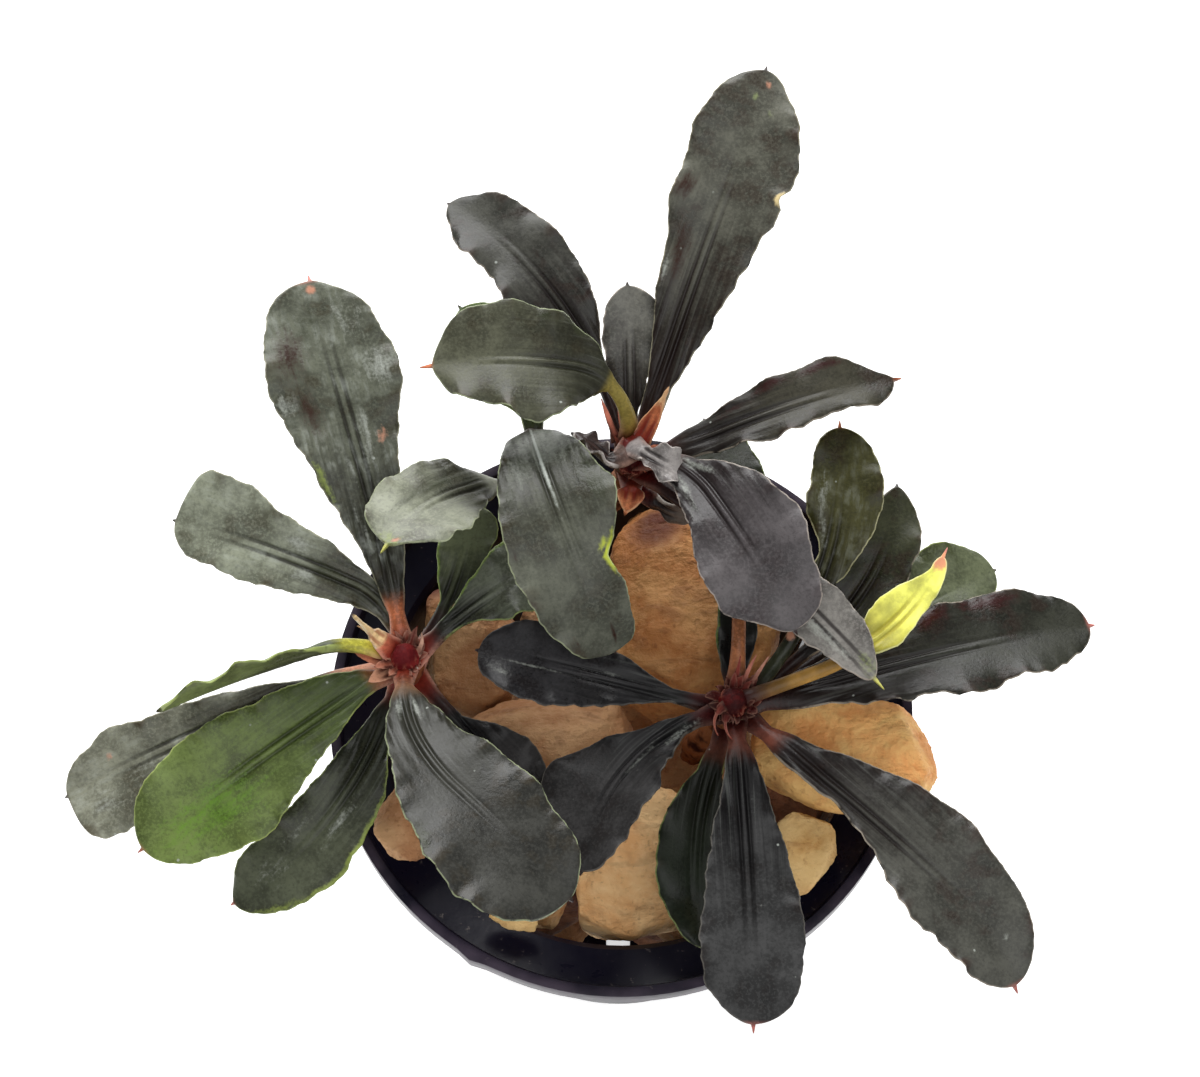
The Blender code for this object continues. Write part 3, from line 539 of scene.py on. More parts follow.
@dataclass(frozen=True)
class LeafFinish(Finish):
    """How a kind of leaf is coloured besides its own main tone, and how strongly.

    The flush colour is the brown or red between the veins, and is also laid as painted
    shade on the crests of the waves; base is the dark of the streaks near the stalk and
    of the painted shade in the two grooves beside the midrib; flushed and streaks say how
    strongly they show, bloom how much chalky film lies on the blade, edging how bright the
    pale margin line is, partly a painted highlight where the margin catches the light, and
    grainy how strong the fine grain of its skin is. The two grooves beside the midrib
    fade out where the blade reaches the part vein. The scales say how many patches,
    mottles, grains and specks there are to a metre, and depth how deep the relief is.
    """

    name: str
    slot: Slot
    flush_and_wave_shade: Colour
    base: Colour
    margin: Colour
    flushed: float = 0.4
    streaks: float = 0.85
    bloom: float = 0.0
    edging: float = 0.65
    rough: float = 0.36
    gloss: float = 0.25
    vein: float = 0.75
    grainy: float = 0.38
    cloud_scale: float = 210.0
    mottle_scale: float = 760.0
    skin_scale: float = 3400.0
    speck_scale: float = 360.0
    depth: float = 0.0001

    def mix(self, bench: Bench) -> bpy.types.Material:
        """Put the leaf's material together.

        Args:
            bench: an empty bench.

        Returns:
            The material.
        """
        body = bench.place()
        across, along, edge = bench.attribute("leaf_place")
        part, upper, seed = bench.attribute("leaf_state")
        tone, wave = bench.tint("leaf_tone")
        mark, strength = bench.tint("leaf_mark")
        rib = abs(across)

        def drawn_out(wide: float, apart: float, long: float, detail: float, rough: float) -> Signal:
            """Noise that is drawn out along the leaf, and differs from leaf to leaf."""
            place = bench.vector(across * wide + seed * apart, along * long, seed)
            return bench.grain(place, 1.0, detail, rough)

        cloud = bench.grain(body, self.cloud_scale, 3.0, 0.55)
        mottle = bench.grain(bench.shifted(body, (0.7, 0.3, 0.1)), self.mottle_scale, 3.0, 0.6)
        skin = bench.grain(body, self.skin_scale, 2.0, 0.6)
        streak = drawn_out(1.25, 9.0, 0.05, 2.0, 0.6)
        thread = drawn_out(3.4, 5.0, 0.09, 2.0, 0.5)
        smear = drawn_out(1.9, 3.0, 0.4, 3.0, 0.6)
        on_blade = part.rise(0.0, 0.1)
        near_base = part.rise(0.78, 0.06) * on_blade
        groove = abs(rib - 0.42).rise(0.3, 0.06) * part.rise(self.vein, self.vein - 0.4) * on_blade
        # Brown flush: random patches between the veins, plus painted shade on the crests of the margin's
        # waves.
        flush_and_wave_shade = (cloud.rise(0.5, 0.4) * mottle.rise(0.42, 0.56) * 0.7 + wave.rise(0.62, 0.86)) * on_blade
        chalk = cloud.rise(0.42, 0.64) * smear.rise(0.4, 0.62) * mottle.rise(0.36, 0.64)
        speck = bench.dots(body, self.speck_scale).rise(0.06, 0.035) * cloud.rise(0.5, 0.56)
        spotted = (strength + (skin - 0.5) * 0.6 + (smear - 0.5) * 0.9).rise(0.28, 1.0)
        colour = bench.layered(
            bench.blend(cloud.rise(0.36, 0.64), bench.scaled(tone, 0.56), bench.scaled(tone, 1.36)),
            (mottle.rise(0.54, 0.38) * 0.4, bench.scaled(tone, 0.62)),
            (skin.rise(0.48, 0.62) * self.grainy, bench.scaled(tone, 1.6)),
            (skin.rise(0.44, 0.34) * self.grainy, bench.scaled(tone, 0.6)),
            (flush_and_wave_shade * self.flushed, self.flush_and_wave_shade),
            (near_base * streak.rise(0.34, 0.6) * self.streaks, self.base),
            (near_base * thread.rise(0.52, 0.62) * (0.8 * self.streaks), self.base),
            # Thin pale lines near the stalk: painted highlights.
            (near_base * thread.rise(0.44, 0.34) * 0.06, CHALK_AND_SHEEN),
            # Painted shade in the two grooves beside the midrib.
            (groove * 0.85, self.base),
            (rib.rise(0.26, 0.08) * part.rise(0.95, 0.4) * on_blade * 0.22, bench.scaled(tone, 1.5)),
            (chalk * self.bloom, CHALK_AND_SHEEN),
            (speck * 0.6, CHALK_AND_SHEEN),
            (spotted * strength.rise(0.04, 0.3), mark),
            ((1.0 - upper) * 0.45, UNDERSIDE),
            # The pale margin line: partly the leaf's own pale rim, partly a painted highlight where the
            # margin catches the light.
            (edge.rise(0.17, 0.04) * mottle.rise(0.34, 0.52) * part.rise(-0.02, 0.06) * self.edging,
             self.margin),
        )
        height = skin * 0.22 + mottle * 0.3 + streak * near_base * 0.6 - groove * 0.5 + spotted * 0.15
        return bench.surface(
            Base_Color=colour,
            Roughness=(skin - 0.5) * 0.3 + (cloud - 0.5) * 0.5 + self.rough + chalk * (0.4 * self.bloom),
            Normal=bench.relief(height, self.depth),
            Specular_IOR_Level=self.gloss,
        )


CHARCOAL = LeafFinish(
    "leaf_charcoal", Slot.LEAF_DARK, shade(56, 36, 30), shade(20, 13, 12), shade(168, 158, 142))
INK = LeafFinish(
    "leaf_ink", Slot.LEAF_DARK, shade(34, 26, 24), shade(10, 9, 10), shade(120, 116, 108), 0.3, 0.8,
    edging=0.4, rough=0.34, gloss=0.2, vein=0.85)
INK_MATT = replace(INK, name="leaf_ink_matt", gloss=0.08, rough=0.4)
SLATE_PURPLE = LeafFinish(
    "leaf_slate_purple", Slot.LEAF_DARK, shade(60, 46, 46), shade(26, 18, 18), shade(190, 178, 166),
    0.25, 0.7)
GROOVED = replace(SLATE_PURPLE, name="leaf_grooved", vein=1.15)
CRUMPLED = replace(
    SLATE_PURPLE, name="leaf_crumpled", margin=shade(206, 198, 192), flushed=0.6, edging=1.0)
OLIVE_BLACK = LeafFinish(
    "leaf_olive_black", Slot.LEAF_DARK, shade(58, 38, 28), shade(24, 12, 10), shade(178, 172, 146))
GREY_GREEN = LeafFinish(
    "leaf_grey_green", Slot.LEAF_GREEN_GREY, shade(66, 56, 38), shade(34, 34, 24),
    shade(176, 186, 146), 0.3, 0.6, edging=0.6, vein=0.62)
CHALKY = LeafFinish(
    "leaf_chalky", Slot.LEAF_GREEN_GREY, shade(64, 54, 34), shade(28, 26, 20), shade(170, 168, 144),
    0.45, 0.6, bloom=0.3, vein=0.95)
GREEN = LeafFinish(
    "leaf_green_fresh", Slot.LEAF_GREEN, shade(74, 82, 32), shade(40, 50, 20), shade(176, 190, 112),
    0.35, 0.35, edging=0.6)
CHALKY_DARK = replace(CHALKY, name="leaf_chalky_dark", slot=Slot.LEAF_DARK)
DEEP_GREEN = LeafFinish(
    "leaf_deep_green", Slot.LEAF_GREEN, shade(44, 42, 24), shade(18, 20, 12), shade(150, 164, 98),
    0.4, 0.6, vein=0.6)
BOTTLE_GREEN = replace(DEEP_GREEN, name="leaf_bottle_green", slot=Slot.LEAF_DARK)
OLIVE_GREEN = LeafFinish(
    "leaf_olive_green", Slot.LEAF_GREEN, shade(46, 32, 20), shade(18, 16, 10), shade(196, 192, 150),
    0.5, 0.6, bloom=0.12)
YOUNG_LIME = LeafFinish(
    "leaf_young_lime", Slot.LEAF_YELLOW, shade(206, 196, 84), shade(178, 168, 60),
    shade(240, 240, 176), 0.2, 0.1, rough=0.45, grainy=0.08)
RUST_SHEATH = LeafFinish(
    "sheath_rust", Slot.SHEATH, shade(178, 84, 52), shade(128, 40, 28), shade(228, 182, 136),
    streaks=0.5, rough=0.5)
CREAM_SHEATH = LeafFinish(
    "sheath_cream", Slot.SHEATH, shade(214, 170, 120), shade(180, 120, 84), shade(240, 226, 196),
    0.3, 0.2, rough=0.5)
HUSK = LeafFinish(
    "sheath_husk", Slot.SHEATH, shade(84, 26, 22), shade(58, 10, 10), shade(200, 156, 134), 0.35, 0.5,
    edging=0.12, rough=0.7, gloss=0.08)


@dataclass(frozen=True)
class Leaf:
    """One leaf with its stalk, in the same terms as the model's own leaves.

    heading is the way the stalk leaves the crown, counted anticlockwise from +X seen
    from above, and swing is how far it has turned at the tip; the two values of turn
    are the fractions of the length between which it turns. rise is the slope at the
    crown and arch is how far the slope has dropped at the tip; late above 1 moves that
    bend towards the tip. lift is the height of the base above the crown point. A leaf
    that has no entry in OUTLINES takes an even blade from width, widest, taper and
    blunt. main, stalk_tone and tip_tone are the colours of its blade, stalk and point,
    darker is how much of the base's dark lies over the foot of the blade, and reddened
    how many millimetres of the stalk are drawn into the crown's red. wing is how far the
    stalk's foot widens where it clasps the stem, and opens the part of the blade over
    which it widens from its stalk, where that isn't the usual one.
    """

    name: str
    crown: Crown
    heading: float
    swing: float
    rise: float
    arch: float
    lift: float
    stalk: float
    blade: float
    width: float = 0.0
    widest: float = 0.62
    taper: float = 0.75
    blunt: float = 0.52
    roll: float = 0.0
    fold: float = 10.0
    late: float = 1.0
    ruffle: float = 0.45
    waves: float = 4.0
    reach: float = 2.2
    turn: tuple[float, float] = (0.0, 1.0)
    finish: LeafFinish = CHARCOAL
    main: Colour = UNDERSIDE
    stalk_tone: Colour = DARK_STALK
    tip_tone: Colour = DARK_STALK
    tip_length: float = 0.4
    darker: float = 0.8
    reddened: float = 2.4
    wing: float = 0.8
    opens: tuple[float, float] | None = None
    marks: tuple[Mark, ...] = ()
    nicks: tuple[Nick, ...] = ()


LEAVES = (
    Leaf("leaf_top_long", TOP, 68.2, 7.4, 39.6, 30.1, -1, 2.2, 34.2, roll=-3, turn=(0.7, 1),
         finish=OLIVE_BLACK, main=shade(87, 87, 77), tip_length=0.5, darker=1.0,
         marks=spots(ORANGE_SPOT, (0.96, -0.29, 0.4, 0.32, 0.9))
         + spots(BROWN_FLUSH, (0.63, 0.78, 1.5, 1.1, 0.85), (0.47, 0.58, 3.6, 0.9, 0.8))
         + spots(PALE_SHEEN_AND_BLOOM, (0.4, 0.86, 1.8, 0.3, 0.6)) + spots(CREAM_SCAR, (0.67, -0.97, 0.7, 0.4, 1.2))
         + spots(GREEN_DOT, (0.92, 0.07, 0.4, 0.3, 0.8), (0.88, -0.38, 0.5, 0.3, 0.8)),
         nicks=(Nick(0.67, -1, 0.5, 0.7),)),
    Leaf("leaf_top_left", TOP, 109, 34.1, 34, 48, -1.8, 5.4, 24.2, roll=-1, main=shade(61, 61, 55)),
    Leaf("leaf_top_oval", TOP, 96.4, 85.4, 78.1, 92.1, 0.6, 6, 16.9, roll=1, late=0.62, turn=(0, 0.43),
         finish=GREY_GREEN, main=shade(74, 75, 60), stalk_tone=shade(136, 122, 60), tip_tone=ORANGE_TIP,
         tip_length=1.3, marks=spots(DEEP_OLIVE, (0.39, -0.86, 1.4, 0.6, 0.8),
         (0.22, -0.9, 1, 0.6, 0.8))),
    Leaf("leaf_top_small", TOP, 91.2, 1.3, 45, 20, -3.4, 2.2, 13.3, finish=SLATE_PURPLE,
         main=shade(102, 101, 94)),
    Leaf("leaf_top_right", TOP, 5.8, 10.3, 31.5, 41.5, -1, 2.4, 21.3, roll=-6, turn=(0, 0.21),
         main=shade(54, 52, 41), tip_tone=ORANGE_TIP, tip_length=0.9,
         marks=spots(RED_FLUSH, (0.47, 0.78, 2.2, 0.6, 0.9), (0.7, 0.8, 2.6, 0.6, 0.9),
         (0.28, 0.6, 3, 0.4, 0.6))),
    Leaf("leaf_top_front", TOP, -23.1, -36.7, 35.9, 60, 0.6, 2.2, 20.6, roll=12, turn=(0, 0.33),
         finish=SLATE_PURPLE, main=shade(80, 76, 77), stalk_tone=shade(90, 60, 50), tip_length=0.5,
         # Painted sheen: light bands near the foot of the blade.
         marks=spots(PALE_SHEEN_AND_BLOOM, (0.12, 0.5, 2.4, 0.5, 0.66), (0.16, -0.55, 2.2, 0.5, 0.62),
         (0.3, -0.7, 2, 0.6, 0.5))),
    Leaf("leaf_top_front_under", TOP, -43, -5.2, 19, 27.9, -2, 5.9, 23.1, roll=-3, finish=GROOVED,
         main=shade(115, 112, 107), tip_tone=YELLOW_TIP, tip_length=1.4,
         marks=spots(YELLOW_EDGE, (0.95, 0.3, 1.6, 1.2, 0.5))
         # Painted highlight: a light streak beside the midrib.
         + spots(PALE_SHEEN_AND_BLOOM, (0.75, -0.35, 3, 0.7, 0.7))),
    Leaf("leaf_top_curled_left", TOP, 230, -90, 25, 40, 2, 0.8, 4.8, width=3, widest=0.55, roll=40,
         fold=35, ruffle=1.1, waves=3, reach=1.5, turn=(0, 0.35), finish=CRUMPLED, main=shade(74, 60, 56),
         stalk_tone=shade(92, 74, 68), darker=0.2, reddened=-0.9),
    Leaf("leaf_top_curled_right", TOP, -46, 34, 35, 75, 2.4, 0.5, 4.6, width=4.2, widest=0.55, fold=35,
         ruffle=1.2, waves=3, reach=0.8, finish=CRUMPLED, main=shade(150, 145, 142),
         stalk_tone=shade(128, 122, 120), darker=0.1, reddened=-0.9),
    Leaf("leaf_top_edge", TOP, -54.7, 53.9, 5.1, 16.2, -4.8, 1.2, 4.1, width=3, roll=70, fold=5, waves=2,
         finish=SLATE_PURPLE, main=shade(104, 96, 90)),
    Leaf("leaf_top_under_oval", MIDDLE, 89.5, 41.9, 24.7, 16.1, 0, 2.8, 13.8, width=8.4, widest=0.58,
         taper=0.76, blunt=0.56, turn=(0.1, 0.6), finish=GREEN, main=shade(112, 132, 84), tip_length=0.5),
    Leaf("leaf_middle_large", MIDDLE, -84.7, 25.8, 138.3, 197.5, 0.8, 7.5, 25.7, roll=2, late=0.6,
         reach=-1.5, finish=GREY_GREEN, main=shade(85, 87, 76), tip_length=0.5,
         # Painted sheen over the crest of the arch and a painted highlight along its ridge; the deep olive
         # patches just below the crest are painted shade.
         marks=spots(shade(132, 136, 126), (0.14, 0.2, 3.2, 3.4, 0.9))
         + spots(shade(120, 124, 114), (0.24, -0.5, 2.6, 1.6, 0.7))
         + spots(CHALK_AND_SHEEN, (0.2, 0, 5.5, 0.22, 1.1)) + spots(BROWN_FLUSH, (0.92, 0.2, 1.3, 0.22, 0.95),
         (0.88, -0.8, 1.8, 0.9, 0.55), (0.7, -0.92, 0.6, 0.4, 0.7), (0.54, -0.88, 0.7, 0.4, 0.7))
         + spots(LIME_SCAR, (0.64, 0.93, 1.9, 0.32, 1.2), (0.6, 0.72, 0.6, 0.4))
         + spots(DEEP_OLIVE, (0.36, 0.75, 2.6, 1.5, 0.8), (0.34, -0.75, 1.4, 1, 0.7)),
         nicks=(Nick(0.64, 1, 0.4, 1),)),
    Leaf("leaf_middle_left", MIDDLE, 210.3, 29, 54.7, 42.9, 1.2, 4.5, 13.8, roll=12, late=1.13,
         turn=(0.3, 1), finish=GREY_GREEN, main=shade(127, 130, 113), stalk_tone=shade(120, 122, 108),
         tip_tone=YELLOW_TIP, tip_length=1.2, reddened=0.2,
         marks=spots(ORANGE_SPOT, (0.96, 0.35, 0.4, 0.4, 0.9))
         + spots(YELLOW_EDGE, (0.97, 0, 1, 1.6, 0.6)) + spots(DEEP_OLIVE, (0.5, -0.35, 5.5, 0.7, 0.75))),
    Leaf("leaf_left_tall", LEFT, 101.6, 4.9, 20.2, 17.3, -1.4, 2.8, 32.2, roll=2, turn=(0.1, 0.4),
         finish=CHALKY, main=shade(87, 90, 77), stalk_tone=shade(190, 110, 72), tip_tone=PINK_TIP,
         tip_length=0.7, opens=(-0.04, 0.06), marks=spots(ORANGE_SPOT, (0.97, 0.05, 0.45, 0.45),
         (0.49, -0.62, 0.85, 0.65, 0.75)) + spots(BROWN_FLUSH, (0.78, 0.62, 3.4, 1.9, 0.8),
         # Pale patches and streaks: partly painted highlights beside the grooves, partly chalky bloom.
         (0.6, 0.55, 2.8, 1.2, 0.8)) + spots(PALE_SHEEN_AND_BLOOM, (0.69, -0.7, 2.1, 1.6, 0.7),
         (0.64, 0.8, 1.2, 1.5, 0.62), (0.45, 0.24, 2.8, 0.3, 0.78), (0.5, -0.27, 3, 0.6, 0.7),
         (0.85, -0.5, 3, 2.2, 0.42), (0.25, 0.5, 3, 0.3, 0.6))
         + spots(YELLOW_EDGE, (0.4, 0.9, 2.4, 0.4, 0.8)) + spots(DEEP_OLIVE, (0.86, 0.3, 3, 2.6, 0.6))),
    Leaf("leaf_left_outer", LEFT, 103.3, 58.5, 32, 38, -3.1, 1.4, 23.5, roll=-15, turn=(0, 0.3),
         finish=CHALKY, main=shade(125, 129, 112), stalk_tone=shade(120, 96, 62), opens=(-0.08, 0.08),
         marks=spots(PALE_SHEEN_AND_BLOOM, (0.51, -0.45, 1.6, 0.9, 0.6), (0.45, 0.36, 1.6, 0.9, 0.6))
         + spots(DEEP_OLIVE, (0.36, 0, 2.6, 1.6, 0.6), (0.2, 0, 3, 1.4, 0.5))),
    Leaf("leaf_left_narrow", LEFT, 164.9, 40, 24.8, 27.7, -1, 4, 17.3, width=6.5, taper=0.8, blunt=0.55,
         roll=78, turn=(0, 0.31), finish=GREEN, main=shade(120, 136, 76), stalk_tone=shade(186, 182, 70),
         tip_length=0.5),
    Leaf("leaf_left_dark", LEFT, -178.4, 20.8, 3, 21.1, -4.5, 4.2, 27.6, roll=-8, turn=(0, 0.2),
         finish=CHALKY_DARK, main=shade(117, 118, 103), stalk_tone=shade(206, 138, 104),
         marks=spots(ORANGE_SPOT, (0.81, -0.39, 0.4, 0.4, 0.8))
         + spots(PALE_SHEEN_AND_BLOOM, (0.88, 0.4, 2.2, 2, 0.5), (0.72, 0.2, 2.4, 1.2, 0.4))),
    Leaf("leaf_left_bright", LEFT, -144.7, -0.5, 7.2, 29.7, -2, 1, 26.3, roll=-16, turn=(0.03, 1),
         finish=GREEN, main=shade(102, 118, 63), stalk_tone=shade(140, 96, 60), tip_tone=PINK_TIP,
         tip_length=0.7, opens=(-0.05, 0.06), marks=spots(shade(104, 148, 44), (0.72, 0.25, 7, 3, 0.62))),
    Leaf("leaf_left_low", LEFT, -111.7, -43.7, 5.1, 37, -4, 1.5, 24.2, roll=-7, turn=(0.19, 1),
         finish=BOTTLE_GREEN, main=shade(74, 78, 62), tip_tone=PINK_TIP, tip_length=0.6,
         opens=(-0.06, 0.08), marks=spots(YELLOW_EDGE, (0.55, 0.96, 8, 0.35, 0.9),
         # Painted highlights in the middle of the blade.
         (0.85, 0.9, 3, 0.5, 0.7)) + spots(PALE_SHEEN_AND_BLOOM, (0.8, 0, 2.4, 1.6, 0.42),
         (0.48, 0.3, 3, 0.5, 0.62), (0.62, -0.4, 2.4, 0.4, 0.58))),
    Leaf("leaf_left_front", LEFT, -89.6, 45.3, 37.6, 51.7, -0.5, 1.8, 27, roll=-14, turn=(0, 0.51),
         finish=GREY_GREEN, main=shade(53, 53, 49), stalk_tone=shade(120, 90, 66), darker=0.5,
         # Painted highlights: white streaks at the foot of the blade.
         opens=(-0.06, 0.08), marks=spots(PALE_SHEEN_AND_BLOOM, (0.12, 0.35, 1.8, 0.35, 0.7),
         (0.1, -0.4, 1.5, 0.4, 0.65)) + spots(DEEP_OLIVE, (0.56, -0.93, 2, 0.9, 0.8))),
    Leaf("leaf_left_behind", LEFT, -47, 0, 5, 20, -4.5, 3.4, 12, width=7.5, finish=INK,
         main=shade(46, 44, 44), tip_length=0.3),
    Leaf("leaf_left_upright", LEFT, 55.5, 31.3, 20.1, 19.9, -4, 3.8, 10.9, finish=DEEP_GREEN,
         main=shade(81, 87, 64), tip_length=0.3, marks=spots(GREEN_EDGE, (0.5, 0.97, 8, 0.25, 0.8))),
    Leaf("leaf_left_inner", LEFT, 35.3, -7.2, 26, 29.3, -1.5, 1.9, 13.2, turn=(0.23, 1),
         finish=DEEP_GREEN, main=shade(93, 98, 83), tip_length=0.3,
         marks=spots(GREEN_EDGE, (0.45, 0.97, 7, 0.25, 0.8), (0.5, -0.97, 7, 0.2, 0.5))),
    Leaf("leaf_right_inner", RIGHT, 169, -2, 15, 17, -3, 1.6, 20.2, width=8, widest=0.68, taper=0.62,
         blunt=0.42, roll=3, finish=INK, main=shade(45, 44, 46), darker=1.0, reddened=3.2,
         # Painted streaky reflections along the midrib and on the lower side.
         marks=spots(PALE_SHEEN_AND_BLOOM, (0.75, 0.12, 3.5, 0.16, 0.62), (0.9, 0.5, 1.8, 0.6, 0.5),
         (0.4, -0.2, 3, 0.4, 0.4))),
    Leaf("leaf_right_low_left", RIGHT, -158.8, 60, 17.2, 28, -2, 1.4, 18.7, roll=30, finish=INK_MATT,
         main=shade(47, 46, 46), darker=1.0, reddened=3.2, opens=(-0.08, 0.1),
         # Painted light streaks on the dark blade.
         marks=spots(PALE_SHEEN_AND_BLOOM, (0.15, 0.5, 3, 0.5, 0.5), (0.35, 0.1, 4, 0.4, 0.42))),
    Leaf("leaf_right_under", RIGHT, -114, 36, 2, 20, -5, 1.9, 17.8, width=7.3, widest=0.54, taper=0.77,
         blunt=0.62, finish=BOTTLE_GREEN, main=shade(27, 33, 23), stalk_tone=shade(96, 54, 38),
         tip_length=0.3, darker=1.0, reddened=3.2),
    Leaf("leaf_right_front", RIGHT, -87.1, -2.3, 19.9, 26, -1.5, 2.2, 25.7, roll=-6, finish=INK_MATT,
         main=shade(56, 56, 56), stalk_tone=shade(78, 44, 34), tip_tone=PINK_TIP, tip_length=0.8,
         darker=1.0, reddened=3.2, opens=(-0.08, 0.1), marks=spots(PALE_SHEEN_AND_BLOOM, (0.6, 0.25, 0.3, 0.25))),
    Leaf("leaf_right_low", RIGHT, -42.6, -23.2, 13.8, 32.3, -2, 2.8, 30.8, roll=-12, turn=(0.67, 1),
         main=shade(71, 71, 65), stalk_tone=shade(104, 56, 42), tip_tone=PINK_TIP, tip_length=0.8,
         darker=1.0, reddened=3.6, opens=(-0.06, 0.06), marks=spots(PALE_SHEEN_AND_BLOOM, (0.87, 0.28, 0.3, 0.25))),
    Leaf("leaf_right_outer", RIGHT, 15.2, -2.7, 8.8, 19.3, -2.8, 2.9, 29.2, roll=-12,
         main=shade(38, 39, 31), tip_tone=PINK_TIP, tip_length=0.7, darker=1.0, reddened=3.2,
         marks=spots(RED_FLUSH, (0.51, 0.8, 1.8, 0.9, 1.0), (0.71, 0.8, 2.6, 0.9, 0.95),
         (0.62, 0.9, 1, 0.6, 0.8))),
    Leaf("leaf_right_up", RIGHT, 45.7, 42.9, 24.9, 20.2, -3.8, 6.8, 20.4, turn=(0.03, 0.84),
         finish=OLIVE_GREEN, main=shade(54, 53, 22), stalk_tone=shade(38, 42, 24), tip_tone=ORANGE_TIP,
         tip_length=0.8, reddened=3.0, opens=(-0.32, 0.1),
         marks=spots(ORANGE_SPOT, (0.0, 0.3, 0.42, 0.42, 1.3))
         # Painted highlight streak in the middle of the blade.
         + spots(PALE_SHEEN_AND_BLOOM, (0.62, 0.5, 4, 0.5, 0.62))),
    Leaf("leaf_right_up_second", RIGHT, 39.3, 46.5, 19.9, 20.3, -5, 6, 19.5, turn=(0.34, 1),
         main=shade(47, 49, 30), darker=1.0, reddened=3.0),
    Leaf("leaf_right_up_third", RIGHT, 35.6, -11.3, 10.9, 21.4, -6.3, 8.1, 19, turn=(0.02, 1),
         finish=GREEN, main=shade(87, 93, 69), reddened=3.0),
    Leaf("leaf_right_young", RIGHT, 18.8, 44.2, 5.4, -9.2, -0.3, 10.5, 11.2, fold=25, ruffle=0.15,
         waves=2, turn=(0.26, 1), finish=YOUNG_LIME, main=shade(243, 243, 114),
         stalk_tone=shade(186, 142, 70), tip_tone=PINK_TIP, tip_length=1.0, reddened=5.0, wing=0.1,
         marks=spots(shade(232, 158, 120), (0.96, 0, 1, 1.4, 1.1))),
    Leaf("leaf_right_back", RIGHT, 84, 23, 16, 28, -2.4, 6.9, 19.7, width=7.7, widest=0.61,
         finish=DEEP_GREEN, main=shade(44, 48, 34), stalk_tone=shade(160, 100, 64), tip_length=0.3,
         reddened=3.0),
    Leaf("leaf_right_dark", RIGHT, 87, -3.3, 14.9, 15.1, -5, 1.6, 10.4, finish=INK,
         main=shade(34, 36, 32), tip_length=0.3, darker=1.0,
         marks=spots(GREEN_EDGE, (0.4, 0.97, 3.5, 0.25, 0.7))),
)

SHEATHS = (
    Leaf("sheath_top_orange", TOP, 45, 10, 62, 12, 0.8, 0.6, 6.2, width=2.1, widest=0.22, taper=0.4,
         blunt=0.85, fold=25, ruffle=0, reach=0.9, finish=RUST_SHEATH, main=shade(214, 126, 82),
         stalk_tone=shade(130, 34, 24), tip_tone=CREAM_TIP, tip_length=0.6, darker=0.9, reddened=3.0,
         marks=spots(CREAM_TIP, (0.92, 0, 1.2, 1, 0.9))),
    Leaf("sheath_top_front", TOP, -92, -18, 30, 40, -2.4, 0.5, 2.5, width=2.8, widest=0.3, blunt=0.8,
         fold=20, ruffle=0, finish=RUST_SHEATH, main=shade(206, 128, 84), stalk_tone=shade(130, 54, 34),
         tip_length=0.3),
    Leaf("sheath_left_cream", LEFT, 152, -10, 55, 20, 0.2, 0.5, 3.6, width=0.8, widest=0.3, blunt=0.9,
         fold=25, ruffle=0, finish=CREAM_SHEATH, main=shade(232, 200, 146),
         stalk_tone=shade(186, 100, 74), darker=0.1, reddened=0.4),
)

